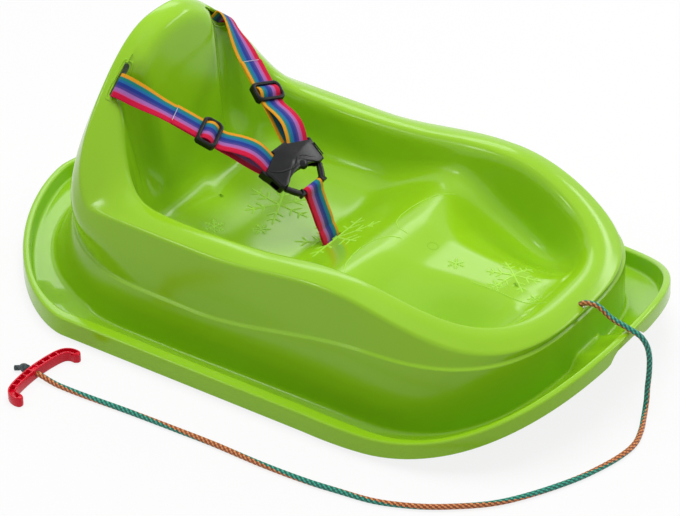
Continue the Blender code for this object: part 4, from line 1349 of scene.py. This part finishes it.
@dataclass
class Harness:
    """The webbing: two shoulder straps, their run inside the rim, and the crotch strap."""

    form: TubForm
    finish: bpy.types.Material
    width: float = 0.030
    thick: float = 0.0014
    fit: float = 0.0003
    bar_radius: float = 0.0025
    buckle_back: float = 0.054
    buckle_up: float = 0.0814
    pitch: float = math.radians(34)
    bar_back: float = 0.0185
    bar_across: float = 0.028
    bar_slant: float = math.radians(22)
    glide_from_bar: float = 0.076
    tail_down: float = 0.0018
    hem_from_bar: float = 0.122
    untwisted: float = 0.130
    tucked_in: float = 0.016
    latch_bar: float = 0.033

    @property
    def layer(self) -> float:
        """The distance of the webbing's middle from the centre of a bar that it wraps."""
        return self.bar_radius + self.fit + self.thick / 2

    @property
    def forward(self) -> Vector:
        """The buckle's direction forwards and down."""
        return Vector((math.cos(self.pitch), 0.0, -math.sin(self.pitch)))

    @property
    def out(self) -> Vector:
        """The direction out of the buckle's face."""
        return Vector((math.sin(self.pitch), 0.0, math.cos(self.pitch)))

    def buckle_point(self, forward: float, across: float, out: float = 0.0) -> Vector:
        """Turn the buckle's own measures into a point.

        Args:
            forward: the distance forwards from the buckle's place.
            across: the distance to the rider's left.
            out: the distance out of its face.

        Returns:
            The point.
        """
        level = float(self.form.floor_height(self.form.crotch_x, 0.0)) + self.buckle_up
        start = Vector((self.form.crotch_x - self.buckle_back, 0.0, level))
        return start + self.forward * forward + Vector((0.0, across, 0.0)) + self.out * out

    def rim_crossing(self, side: Side) -> list[Vector]:
        """Give the strap's line up through its slot and over the rim's inner edge.

        Args:
            side: the strap's side.

        Returns:
            The line's points.
        """
        slot, along, over, normal = self.form.shoulder_slot(side)
        middle = slot + along * (0.007 - self.fit)
        steps = ((0.0, -0.003), (0.0, 0.001), (0.0012, 0.0024), (0.0036, 0.0031), (0.0075, 0.0034),
                 (0.012, 0.003))
        return [middle + over * a + normal * b for a, b in steps]

    def strap_frame(self, side: Side) -> tuple[Vector, Vector, Vector, Vector]:
        """Give a strap's bar, the direction along it, the direction of its width and its upper side.

        Args:
            side: the strap's side.

        Returns:
            The bar's centre and the three directions, along being from the bar to the rim.
        """
        bar = self.buckle_point(-self.bar_back, side.value * self.bar_across)
        across = Vector((0.0, side.value * math.cos(self.bar_slant), 0.0))
        width = self.forward * math.sin(self.bar_slant) + across
        edge = self.rim_crossing(side)[-1]
        upper = self.out
        along = upper
        for _ in range(4):
            along = edge - (bar - upper * self.layer)
            along = (along - width * along.dot(width)).normalized()
            upper = along.cross(width).normalized()
            if upper.dot(self.out) < 0.0:
                upper = -upper
        return bar, along, width, upper

    def hidden_run(self, side: Side, t: float) -> tuple[Vector, Vector]:
        """Give a point and width of the belt inside the rim, from a slot at 0 to the centre at 1.

        Args:
            side: the belt's side.
            t: the place on its run.

        Returns:
            The point and the direction of the width.
        """
        across = Vector((0.0, 1.0, 0.0)) * side.value
        _, along, _, normal = self.form.shoulder_slot(side)
        start = self.rim_crossing(side)[0]
        end = Vector((start.x, 0.0, start.z - abs(start.y) * 0.33))
        pull = (end - start).length
        place = (start * (2 * t ** 3 - 3 * t ** 2 + 1) - normal * (pull * (t ** 3 - 2 * t ** 2 + t))
                 + end * (3 * t ** 2 - 2 * t ** 3) - across * (pull * (t ** 3 - t ** 2)))
        run = ((end - start) * (6 * t - 6 * t ** 2) - normal * (pull * (3 * t ** 2 - 4 * t + 1))
               - across * (pull * (3 * t ** 2 - 2 * t))).normalized()
        way = along * (1.0 - t) + Vector((0.0, 0.0, -1.0)) * t
        return place, (way - run * way.dot(run)).normalized()

    def strap_line(self, side: Side) -> tuple[list[Vector], list[Vector]]:
        """Give the centre line and widths of a shoulder strap, from inside the rim to its hem.

        Args:
            side: the strap's side.

        Returns:
            The line's points and the direction of the width at each.
        """
        _, slot_way, _, _ = self.form.shoulder_slot(side)
        bar, along, width, upper = self.strap_frame(side)
        share = self.tucked_in / abs(self.rim_crossing(side)[0].y)
        line, ways = [], []
        for k in range(5):
            place, way = self.hidden_run(side, share * (1.0 - k / 5))
            line.append(place)
            ways.append(way)
        crossing = self.rim_crossing(side)
        line += crossing
        ways += [slot_way] * len(crossing)
        lower = bar - upper * self.layer
        start, stop = crossing[-1], lower + along * self.untwisted
        for k in range(1, 9):
            line.append(start.lerp(stop, k / 8))
            ways.append(slot_way.lerp(width, float(smooth(0.0, 1.0, k / 8))))
        line += [lower + along * distance for distance in (0.09, 0.045, 0.0)]
        for k in range(1, 8):
            turn = math.pi * k / 8
            line.append(bar - along * (self.layer * math.sin(turn)) - upper * (self.layer * math.cos(turn)))
        rise = [(0.0, self.layer), (0.011, 0.0086), (0.024, 0.0108), (0.039, 0.0072), (0.053, 0.0008),
                (self.glide_from_bar - 0.0145, -self.tail_down),
                (self.glide_from_bar + 0.006, -self.tail_down)]
        line += smooth_path([bar + along * a + upper * b for a, b in rise], 18)
        line.append(bar + along * self.hem_from_bar - upper * self.tail_down)
        ways += [width] * (len(line) - len(ways))
        squared = ways[:5]
        for i in range(5, len(line)):
            run = (line[min(i + 1, len(line) - 1)] - line[max(i - 1, 0)]).normalized()
            squared.append((ways[i] - run * ways[i].dot(run)).normalized())
        return line, squared

    def back_line(self) -> tuple[list[Vector], list[Vector]]:
        """Give the hidden run of the belt from the left strap's end to the right one's.

        Returns:
            The line's points and the direction of the width at each.
        """
        reach = abs(self.rim_crossing(Side.LEFT)[0].y)
        share, gap = self.tucked_in / reach, (self.fit + 0.0001) / reach
        line, ways = [], []
        for side, order in ((Side.LEFT, range(10)), (Side.RIGHT, range(9, -1, -1))):
            for k in order:
                place, way = self.hidden_run(side, share + gap + (1.0 - share - gap) * k / 9.5)
                line.append(place)
                ways.append(way)
        return line, ways

    def crotch_line(self) -> list[Vector]:
        """Give the closed line of the crotch strap, round the latch's bar and round its keeper.

        Returns:
            The line's points.
        """
        slot, _ = self.form.crotch_slot()
        top = self.buckle_point(self.latch_bar, 0.0)
        down = (slot - top).normalized()
        out = Vector((-down.z, 0.0, down.x))
        length = (slot - top).length
        low, ply, wrap = length + 0.007, 0.0011, self.layer
        side = [(0.003, 0.0032), (0.006, 0.0022), (0.010, 0.0013), (0.014, ply), (length * 0.6, ply),
                (length + 0.0026, ply), (length + 0.0042, 0.0021), (low - 0.0015, 0.0032)]
        turns = np.linspace(0, math.pi, 9)
        line = [top + out * (wrap * math.cos(a)) - down * (wrap * math.sin(a)) for a in turns]
        line += [top + down * a - out * b for a, b in side]
        foot = top + down * low
        line += [foot - out * (wrap * math.cos(a)) + down * (wrap * math.sin(a)) for a in turns]
        line += [top + down * a + out * b for a, b in reversed(side)]
        return line

    def band(self, name: str, line: Sequence[Vector], ways: Sequence[Vector], closed: bool, node: str,
             body: str = "sled") -> bpy.types.Object:
        """Lay a band of webbing along a line.

        Args:
            name: the piece's name.
            line: its centre line.
            ways: the direction of its width at each point.
            closed: whether its ends join.
            node: the CAD node that it stands for.
            body: the body that it rides on, or nothing for a band that is given no body.

        Returns:
            The band.
        """
        points, widths = list(line), list(ways)
        if closed:
            points.append(points[0].copy())
            widths.append(widths[0].copy())
        path, marks = eased(points, 0.0022)
        rows = []
        for place, mark in zip(path, marks):
            i = min(int(mark), len(widths) - 2)
            way = widths[i].lerp(widths[i + 1], mark - i).normalized()
            rows.append([place + way * (self.width * (k / 8 - 0.5)) for k in range(9)])
        band = surface(name, rows, welded=closed, uv=True)
        wall = band.modifiers.new("webbing", "SOLIDIFY")
        wall.thickness = self.thick
        wall.offset = 0.0
        wall.use_even_offset = True
        edge = band.modifiers.new("selvedge", "BEVEL")
        edge.width = 0.0005
        edge.segments = 2
        edge.limit_method = "ANGLE"
        edge.angle_limit = math.radians(60)
        finish_modifiers(band)
        soft_edges(band, 50.0)
        dress(band, self.finish, body)
        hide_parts(node)
        return band

    def build(self) -> None:
        """Lay all the webbing."""
        for side in Side:
            line, ways = self.strap_line(side)
            name = side.word + "_shoulder_strap"
            self.band(name + "_webbing", line, ways, False, name)
        line, ways = self.back_line()
        self.band("shoulder_belt_back_run_webbing", line, ways, False, "shoulder_belt_back_run")
        line = self.crotch_line()
        across = Vector((0.0, -1.0, 0.0))
        crotch = self.band("crotch_strap_webbing", line, [across] * len(line), True, "crotch_strap", body="")
        slot, _ = self.form.crotch_slot()
        bar = self.buckle_point(self.latch_bar, 0.0)
        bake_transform(crotch)
        for side in Side:
            self.adjuster_loop(side)
            self.hem_stitch(side)

    def adjuster_loop(self, side: Side) -> None:
        """Lift the webbing over an adjuster's middle bar.

        Args:
            side: the adjuster's side.
        """
        bar, along, width, upper = self.strap_frame(side)
        middle = bar + along * self.glide_from_bar
        rise = ((-0.0078, -0.0006), (-0.0066, 0.0004), (-0.0045, 0.0022), (-0.002, 0.0033), (0.0, 0.0036),
                (0.002, 0.0033), (0.0045, 0.0022), (0.0066, 0.0004), (0.0078, -0.0006))
        path, _ = eased([middle + along * a + upper * b for a, b in rise], 0.0008)
        span = self.width - 0.0016
        rows = [[p + width * (span * (k / 8 - 0.5)) for k in range(9)] for p in path]
        loop = surface(side.word + "_adjuster_loop", rows, welded=False, uv=True)
        wall = loop.modifiers.new("webbing", "SOLIDIFY")
        wall.thickness = self.thick * 0.8
        wall.offset = 0.0
        finish_modifiers(loop)
        soft_edges(loop, 50.0)
        dress(loop, self.finish, side.word + "_adjuster")

    def hem_stitch(self, side: Side) -> None:
        """Sew a row of thread across the end of a strap's upper ply.

        Args:
            side: the strap's side.
        """
        bar, along, width, upper = self.strap_frame(side)
        hem = bar + along * (self.hem_from_bar - 0.0010) + upper * (self.thick / 2 - self.tail_down)
        points, faces = [], []
        for k in range(9):
            start = hem + width * (0.0024 * k - 0.0105)
            faces += tube(len(points), 4, 5)
            for t in (0.0, 0.35, 0.7, 1.0):
                rise = 0.00020 + 0.00028 * math.sin(math.pi * t)
                points += [start + width * (0.0022 * t) + upper * (rise + 0.00026 * math.sin(turn))
                           + along * (0.00034 * math.cos(turn)) for turn in circle(5)[:-1]]
        stitches = solid(side.word + "_hem_stitches", points, faces)
        complete(stitches, 60.0, THREAD.make(), "sled")


# Buckle and adjusters


@dataclass
class Buckle:
    """The domed cover of the buckle's housing, its prongs' sleeves and the adjusters' rounded frames."""

    harness: Harness
    finish: bpy.types.Material
    face: float = 0.0059
    crown: float = 0.0022
    edge: float = 0.0012
    boss: tuple[float, float] = (0.0060, 0.0088)
    boss_radius: float = 0.0064
    boss_height: float = 0.0042
    inset: float = 0.975

    def outline(self) -> list[tuple[float, float]]:
        """Give half the cover's outline in forward and across measures, from the back round to the mouth."""
        return [(-0.0262, 0.0), (-0.0258, 0.006), (-0.0246, 0.0115), (-0.0226, 0.017), (-0.0205, 0.0225),
                (-0.0184, 0.028), (-0.0162, 0.0335), (-0.0144, 0.0385), (-0.0126, 0.0425), (-0.0104, 0.0448),
                (-0.0070, 0.0452), (-0.002, 0.0440), (0.006, 0.0427), (0.0118, 0.0417), (0.0150, 0.0396),
                (0.0160, 0.0360), (0.0156, 0.0310), (0.0138, 0.0270), (0.0118, 0.0235), (0.0100, 0.0180),
                (0.0084, 0.0115), (0.0074, 0.0050), (0.0072, 0.0)]

    def cover(self) -> bpy.types.Object:
        """Dome a cover over the housing, with rounded edges.

        Returns:
            The cover.
        """
        half = self.outline()
        loop = [Vector((f, a, 0.0)) for f, a in half] + [Vector((f, -a, 0.0)) for f, a in half[-2:0:-1]]
        ring = eased([p * self.inset for p in loop + [loop[0]]], 0.0012)[0][:-1]
        heart = Vector((-0.006, 0.0, 0.0))
        steps = [(1.0, -0.0006), (1.0, 0.35), (0.992, 0.72), (0.975, 0.93), (0.95, 1.0), (0.90, 1.04)]
        steps += [(share, 1.04 + (self.crown / self.edge) * (1.0 - (share / 0.9) ** 2))
                  for share in (0.8, 0.68, 0.55, 0.42, 0.3, 0.18, 0.08, 0.0)]
        rows = []
        for share, height in steps:
            line = [self.at(*(heart + (p - heart) * share).xy, self.edge * height) for p in ring]
            rows.append(line + [line[0].copy()])
        base = [q - self.harness.out * 0.0008 for q in rows[0]]
        middle = sum((Vector(q) for q in base[:-1]), Vector()) / (len(base) - 1)
        cover = surface("buckle_housing_cover", [[middle.copy() for _ in base], base] + rows)
        return complete(cover, 40.0, self.finish, "sled")

    def at(self, forward: float, across: float, lift: float) -> Vector:
        """Turn a place on the cover into a point, lifted from the housing's face."""
        return self.harness.buckle_point(forward, across, self.face + lift)

    def bar(self, piece: bpy.types.Object, body: str) -> None:
        """Complete a bar that was swept along a line."""
        complete(piece, 60.0, self.finish, body)

    def lobes(self) -> None:
        """Raise the round boss at the mouth and the curved rib that winds past it."""
        forward, across = self.boss
        rows = []
        for share, height in ((0.0, 1.0), (0.25, 0.97), (0.5, 0.88), (0.72, 0.7), (0.88, 0.46), (0.97, 0.2),
                              (1.0, 0.0), (1.0, -0.6), (0.9, -0.75), (0.0, -0.75)):
            rows.append([self.at(forward + self.boss_radius * share * math.cos(a),
                                 across + self.boss_radius * share * math.sin(a), self.boss_height * height)
                         for a in circle(36)])
        complete(surface("buckle_boss", rows), 50.0, self.finish, "sled")
        route = ((-0.0100, -0.0390, 0.0008), (-0.0040, -0.0330, 0.0016), (0.0000, -0.0250, 0.0024),
                 (0.0020, -0.0170, 0.0028), (0.0032, -0.0090, 0.0030), (0.0018, -0.0020, 0.0031),
                 (-0.0020, 0.0040, 0.0031), (-0.0038, 0.0105, 0.0030), (-0.0008, 0.0175, 0.0026),
                 (0.0040, 0.0225, 0.0020), (0.0085, 0.0290, 0.0010))
        line, _ = eased([self.at(*place) for place in route], 0.0012)
        self.bar(swept("buckle_winding_rib", line, self.harness.out, 0.0022, 0.0020), "sled")
        for side in Side:
            for k, reach in enumerate((0.0438, 0.0412)):
                line = [self.at(f, side.value * (reach - 0.12 * (f + 0.006)), 0.0013)
                        for f in np.linspace(-0.006, 0.0115, 12)]
                name = "%s_side_rail_%d" % (side.word, k)
                self.bar(swept(name, line, self.harness.out, 0.0012, 0.0014), "sled")

    def sleeve(self, side: Side) -> None:
        """Fill out the arm of a prong where it shows between the housing and the latch.

        Args:
            side: the prong's side.
        """
        places = ((0.0168, 0.0333), (0.0195, 0.0312), (0.0230, 0.0288), (0.0265, 0.0262), (0.0295, 0.0236),
                  (0.0315, 0.0216))
        line, _ = eased([self.harness.buckle_point(f, side.value * a) for f, a in places], 0.0010)
        arm = swept(side.word + "_prong_arm", line, self.harness.out, 0.0062, 0.0066, power=3.2)
        self.bar(arm, side.word + "_prong")

    def adjuster_frame(self, side: Side) -> None:
        """Round an adjuster's frame over the webbing.

        Args:
            side: the adjuster's side.
        """
        bar, along, width, upper = self.harness.strap_frame(side)
        middle = bar + along * self.harness.glide_from_bar + upper * 0.0009
        long, wide, corner = 0.0108, 0.0179, 0.0062
        line = []
        for start, (x, y) in zip((0, 90, 180, 270), ((1, 1), (-1, 1), (-1, -1), (1, -1))):
            centre = middle + along * (x * (long - corner)) + width * (y * (wide - corner))
            for k in range(9):
                turn = math.radians(start + 90 * k / 8)
                line.append(centre + along * (corner * math.cos(turn)) + width * (corner * math.sin(turn)))
        bars = swept(side.word + "_adjuster_frame", line, upper, wide=0.0043, high=0.0036, closed=True)
        self.bar(bars, side.word + "_adjuster")

    def build(self) -> None:
        """Make the cover with its lobes, the sleeves and the frames."""
        self.cover()
        self.lobes()
        for side in Side:
            self.sleeve(side)
            self.adjuster_frame(side)


# Tow rope


@dataclass
class TowHandle:
    """The tow handle: a bowed bar with a pocketed channel in its top and a hook at each end."""

    finish: bpy.types.Material
    x: float
    y: float
    height: float = 0.013
    bar: float = 0.0052
    hook: float = 0.0048
    channel: float = 0.0029
    pocket: float = 0.005
    shallow: float = 0.0022
    pitch: float = 0.0105
    rib: float = 0.0018
    pockets: int = 7
    tip: float = 0.0058
    hole: float = 0.0036
    least_depth: float = 0.0004

    def line(self) -> list[Vector]:
        """Give the centre line from one tip to the other."""
        half = [(0.0255, 0.0482), (0.0215, 0.0496), (0.0165, 0.0499), (0.0112, 0.0484), (0.0068, 0.0445),
                (0.0042, 0.0385), (0.0022, 0.0290), (0.0007, 0.0160), (0.0, 0.0)]
        points = [Vector((x, y, 0.0)) for x, y in half] + [Vector((x, -y, 0.0)) for x, y in half[-2::-1]]
        return eased(points, 0.0005)[0]

    def depth(self, reach: float, end: float) -> float:
        """Give the channel's depth.

        Args:
            reach: the distance along the handle from its middle.
            end: the distance from the nearer tip.

        Returns:
            The depth, least at the ribs and the tips.
        """
        middle = abs(reach)
        if middle > self.pockets / 2 * self.pitch:
            past = middle - (self.pockets / 2 * self.pitch + self.rib / 2)
            share = smooth(0.0, 0.0008, past) * smooth(0.0, 0.0012, end - 0.0048)
            return self.least_depth + self.pocket * float(share)
        nearest = abs((middle / self.pitch + 0.5) % 1.0)
        gap = min(nearest, 1.0 - nearest) * self.pitch - self.rib / 2
        deep = self.shallow if middle < self.pitch / 2 else self.pocket
        return self.least_depth + (deep - self.least_depth) * float(smooth(0.0, 0.0007, gap))

    def build(self) -> bpy.types.Object:
        """Build the handle and dress it.

        Returns:
            The handle.
        """
        line = self.line()
        reach = np.cumsum([0.0] + [(b - a).length for a, b in zip(line, line[1:])])
        total = reach[-1]
        origin = Vector((self.x, self.y, 0.0))
        rows = []
        for i, place in enumerate(line):
            run = (line[min(i + 1, len(line) - 1)] - line[max(i - 1, 0)]).normalized()
            side = run.cross(Vector((0.0, 0.0, 1.0)))
            end = min(reach[i], total - reach[i])
            round_off = math.sqrt(max(1.0 - (1.0 - min(end / self.tip, 1.0)) ** 2, 0.0))
            wide = self.hook + (self.bar - self.hook) * float(smooth(0.012, 0.03, end))
            wide *= max(round_off, 0.02)
            low = 0.0016 * (1.0 - round_off)
            top = self.height - low
            deep = self.depth(reach[i] - total / 2, end)
            inner = min(self.channel, wide * 0.6)
            section = ((0.0, low), (wide - 0.0016, low), (wide - 0.0004, low + 0.0005), (wide, low + 0.0018),
                       (wide, top - 0.0016), (wide - 0.0003, top - 0.0005), (wide - 0.0010, top),
                       (inner + 0.0003, top), (inner, top - 0.0003), (inner * 0.88, top - deep),
                       (0.0, top - deep))
            full = list(section) + [(-u, v) for u, v in section[-2::-1]]
            rows.append([origin + place + side * max(min(u, wide), -wide) + Vector((0.0, 0.0, v))
                         for u, v in full])
        for index, end in ((0, 0), (len(rows), -1)):
            middle = sum((p for p in rows[end]), Vector()) / len(rows[end])
            rows.insert(index, [middle.copy() for _ in rows[end]])
        handle = surface("tow_handle_moulding", rows)
        edit(handle, turn_out=True)
        bpy.ops.object.select_all(action="DESELECT")
        bpy.ops.mesh.primitive_cylinder_add(vertices=28, radius=self.hole, depth=0.03,
                                            location=(self.x, self.y, self.height / 2),
                                            rotation=(0.0, math.pi / 2, 0.0))
        drill = settle(bpy.context.active_object)
        cut = handle.modifiers.new("rope hole", "BOOLEAN")
        cut.operation = "DIFFERENCE"
        cut.solver = "EXACT"
        cut.object = drill
        finish_modifiers(handle)
        bpy.data.objects.remove(drill)
        soft_edges(handle, 35.0)
        dress(handle, self.finish, "sled")
        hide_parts("tow_handle")
        return handle


@dataclass
class TowLine:
    """The tow rope from its knot inside the nose to its handle on the ground."""

    form: TubForm
    finish: bpy.types.Material
    tail_finish: bpy.types.Material
    red: bpy.types.Material
    radius: float = 0.0032
    knot_radius: float = 0.0055
    fit: float = 0.0003
    handle_x: float = -0.1662
    handle_y: float = -1.2977 * 0.257
    handle_bar: float = 0.010
    handle_height: float = 0.013

    def route(self) -> list[Vector]:
        """Give the rope's line, along the course of the frame's own rope.

        Returns:
            The line's points, from inside the nose to behind the handle.
        """
        hole, way = self.form.rope_hole()
        nose, half = self.form.nose, self.form.half_width
        ground = self.radius + self.fit
        lip = self.form.lip_height + float(self.form.nose_rise(nose)) + self.radius + 2 * self.fit
        route = [hole - way * 0.0031, hole + way * 0.002, hole + way * 0.0055 + Vector((0.003, 0.0, 0.0)),
                 hole + Vector((0.020, 0.001, 0.0045)), Vector((nose - 0.022, 0.002, lip + 0.008))]
        route += [Vector((nose + x, y, z)) for x, y, z in (
            (-0.002, 0.004, lip + 0.0015), (0.013, 0.007, lip - 0.006), (0.021, 0.010, lip - 0.022),
            (0.024, 0.010, 0.052), (0.024, 0.009, 0.026), (0.027, 0.003, 0.008), (0.032, -0.010, ground))]
        route += [Vector((x * nose, -y * half, ground)) for x, y in (
            (1.102, 0.117), (1.122, 0.230), (1.117, 0.342), (1.095, 0.471), (1.062, 0.603), (1.005, 0.770),
            (0.945, 0.903), (0.868, 1.012), (0.785, 1.101), (0.685, 1.171), (0.583, 1.202), (0.480, 1.226),
            (0.345, 1.241), (0.193, 1.245), (0.058, 1.257), (-0.087, 1.272), (-0.230, 1.292),
            (-0.320, 1.2996))]
        height = self.handle_height / 2
        route += [Vector((self.handle_x + x, self.handle_y, z)) for x, z in (
            (0.021, 0.0045), (0.010, height), (0.0, height), (-self.handle_bar / 2, height))]
        line = smooth_path(route, 84, (0.09, 0.05))
        for point in line:
            point.z = max(point.z, ground)
        return line

    def braid(self, name: str, line: Sequence[Vector], swell: Callable[[float], float],
              finish: bpy.types.Material, node: str) -> bpy.types.Object:
        """Make a braided cord along a line and dress it.

        Args:
            name: the piece's name.
            line: its centre line.
            swell: its thickness along it, as a multiple of the rope's, from the share of its length.
            finish: its material.
            node: the CAD node that it stands for.

        Returns:
            The cord.
        """
        path, _ = eased(line, 0.0011)
        up = Vector((0.0, 0.0, 1.0))
        rows, reach, total = [], 0.0, sum((b - a).length for a, b in zip(path, path[1:]))
        for i, place in enumerate(path):
            run = (path[min(i + 1, len(path) - 1)] - path[max(i - 1, 0)]).normalized()
            up = (up - run * up.dot(run)).normalized()
            side = run.cross(up)
            if i:
                reach += (place - path[i - 1]).length
            size = self.radius * swell(reach / total)
            lap = math.pi * reach / CORD.strand
            row = []
            for angle in circle(20):
                bulge = max(abs(math.cos(2 * angle + lap)), abs(math.cos(2 * angle - lap)))
                out = up * math.sin(angle) + side * math.cos(angle)
                row.append(place + out * size * (0.88 + 0.12 * bulge))
            rows.append(row)
        rows = [[path[0].copy() for _ in rows[0]]] + rows + [[path[-1].copy() for _ in rows[0]]]
        return complete(surface(name, rows, uv=True), 70.0, finish, "sled", node)

    def build(self) -> None:
        handle = TowHandle(self.red, self.handle_x, self.handle_y).build()
        line = self.route()
        rope = self.braid("tow_rope_braid", line, lambda share: 1.0, self.finish, "tow_rope")
        swell = self.knot_radius / self.radius
        hole, way = self.form.rope_hole()
        back = hole - way * (self.knot_radius + 0.0035)
        knot = self.braid("tow_rope_knot_braid",
                          [back - way * (self.knot_radius * a) for a in (-1.0, -0.4, 0.2, 0.8, 1.4, 2.2)],
                          lambda t: swell * (0.46 + 0.54 * math.sin(math.pi * min(t / 0.66, 1.0)) ** 0.6),
                          self.finish, "tow_rope_knot")
        behind = self.handle_bar / 2 + self.fit + 0.0003 + self.knot_radius
        start = Vector((self.handle_x - behind, self.handle_y, self.handle_height / 2))
        ground = self.radius + self.fit
        tail = [start - Vector((self.knot_radius * a, 0.0, 0.0)) for a in (-1.0, -0.4, 0.2, 0.8)]
        tail += [start + Vector((-0.010, -0.001, -0.0022)),
                 start + Vector((-0.0145, -0.003, ground - self.handle_height / 2))]
        end = self.braid("tow_handle_knot_braid", tail,
                         lambda t: 1.0 + (swell - 1.0) * math.sin(math.pi * min(t / 0.62, 1.0)) ** 0.7,
                         self.tail_finish, "tow_handle_knot")


# Studio


@dataclass
class Studio:
    """The pale floor, the soft lamps and the camera at the photograph's angle."""

    place: Point = (1.4956, -2.1260, 1.7960)
    tilt: float = math.radians(55.951)
    turn: float = math.radians(34.776)
    lens: float = 142.29
    white: float = 0.85

    def camera(self) -> None:
        """Make the camera."""
        bpy.ops.object.camera_add(location=self.place, rotation=(self.tilt, 0.0, self.turn))
        camera = bpy.context.active_object
        camera.data.sensor_fit = "HORIZONTAL"
        camera.data.sensor_width = 36.0
        camera.data.lens = self.lens
        camera.data.clip_start = 0.05
        bpy.context.scene.camera = camera

    def lamp(self, name: str, place: Point, aim: Point, size: tuple[float, float], power: float,
             mirrored: bool = True) -> None:
        """Hang one soft lamp.

        Args:
            name: the lamp's name.
            place: where it hangs.
            aim: the point that it faces.
            size: its width and height.
            power: its power in watts.
            mirrored: whether glossy surfaces show it.
        """
        bpy.ops.object.light_add(type="AREA", location=place)
        lamp = bpy.context.active_object
        lamp.name = name
        lamp.data.shape = "RECTANGLE"
        lamp.data.size, lamp.data.size_y = size
        lamp.data.energy = power
        lamp.visible_glossy = mirrored
        lamp.rotation_euler = (Vector(place) - Vector(aim)).to_track_quat("Z", "Y").to_euler()

    def light(self) -> None:
        """Hang the lamps and light the world round the object."""
        self.lamp("overhead_soft", (0.1, 0.2, 2.5), (0.0, 0.0, 0.1), (1.8, 1.4), 44.0, mirrored=False)
        self.lamp("camera_side_soft", (1.6, -1.6, 1.6), (0.1, 0.0, 0.1), (0.9, 0.9), 0.6)
        self.lamp("left_strip", (-1.5, -1.2, 1.1), (-0.1, 0.0, 0.1), (0.25, 1.6), 2.0)
        self.lamp("edge_spot", (-0.95, -1.15, 1.4), (0.0, -0.1, 0.1), (0.3, 0.3), 3.0)
        self.lamp("back_left_soft", (-1.4, 1.9, 1.7), (0.0, 0.0, 0.1), (1.4, 0.7), 8.0)
        self.lamp("back_strip", (0.9, 1.7, 1.3), (0.1, 0.0, 0.1), (1.8, 0.35), 10.0)
        world = bpy.data.worlds.new("studio")
        bpy.context.scene.world = world
        world.use_nodes = True
        tree = world.node_tree
        level = tree.nodes.new("ShaderNodeMapRange")
        level.inputs["To Min"].default_value = 0.36
        level.inputs["To Max"].default_value = 1.0
        tree.links.new(self.plain_ray(tree), level.inputs["Value"])
        tree.links.new(level.outputs[0], tree.nodes["Background"].inputs["Strength"])
        tree.nodes["Background"].inputs["Color"].default_value = (1.0, 1.0, 1.0, 1.0)

    def plain_ray(self, tree: bpy.types.NodeTree) -> Socket:
        """Tell the rays that see the background itself, straight, mirrored or through something clear.

        Args:
            tree: the node tree to add to.

        Returns:
            A socket that is 1 for those rays.
        """
        path = tree.nodes.new("ShaderNodeLightPath")
        either = path.outputs["Is Camera Ray"]
        for word in ("Is Glossy Ray", "Is Transmission Ray"):
            node = tree.nodes.new("ShaderNodeMath")
            node.operation = "MAXIMUM"
            tree.links.new(either, node.inputs[0])
            tree.links.new(path.outputs[word], node.inputs[1])
            either = node.outputs[0]
        return either

    def floor(self) -> None:
        """Lay the pale floor."""
        bpy.ops.object.select_all(action="DESELECT")
        bpy.ops.mesh.primitive_plane_add(size=60.0, location=(0.0, 0.0, -0.0004))
        floor = bpy.context.active_object
        floor.name = "studio_floor"
        settle(floor)
        graph = Graph("pale_floor")
        nodes, links = graph.tree.nodes, graph.tree.links
        graph.shader.inputs["Base Color"].default_value = (0.80, 0.80, 0.80, 1.0)
        graph.set(Roughness=0.9, Specular_IOR_Level=0.0)
        glow = nodes.new("ShaderNodeEmission")
        share = nodes.new("ShaderNodeMixShader")
        some = graph.math("MULTIPLY", self.plain_ray(graph.tree), self.white)
        links.new(some, share.inputs[0])
        links.new(graph.shader.outputs[0], share.inputs[1])
        links.new(glow.outputs[0], share.inputs[2])
        links.new(share.outputs[0], nodes["Material Output"].inputs["Surface"])
        floor.data.materials.append(graph.material)


def repaint(node: str, finish: bpy.types.Material) -> None:
    """Give a CAD node that stays its own material.

    Args:
        node: the node's name.
        finish: its material.
    """
    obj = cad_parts[node]
    obj.data.materials.clear()
    obj.data.materials.append(finish)
    log.info("%s keeps its CAD form", node)


def main() -> None:
    """Build the looks in order."""
    logging.basicConfig(level=logging.INFO, format="%(message)s")
    bpy.context.scene.view_settings.view_transform = "Standard"
    studio = Studio()
    studio.camera()
    TowLine(FORM, CORD.make(), DARK_CORD.make(), RED.make()).build()
    lime, webbing, black = LIME.make(), WEBBING.make(), BLACK.make()
    shell = Shell(FORM, lime, FROST_AND_GLINT_LIME.make())
    shell.build()
    shell.ornaments()
    for side in Side:
        shell.slot_collar(side)
    harness = Harness(FORM, webbing)
    harness.build()
    Buckle(harness, black).build()
    for node in ("buckle_housing", "buckle_latch", "left_latch_prong", "right_latch_prong",
                 "left_strap_adjuster", "right_strap_adjuster"):
        repaint(node, black)
    repaint("crotch_strap_keeper", STEEL.make())
    studio.floor()
    studio.light()


if __name__ == "__main__":
    main()
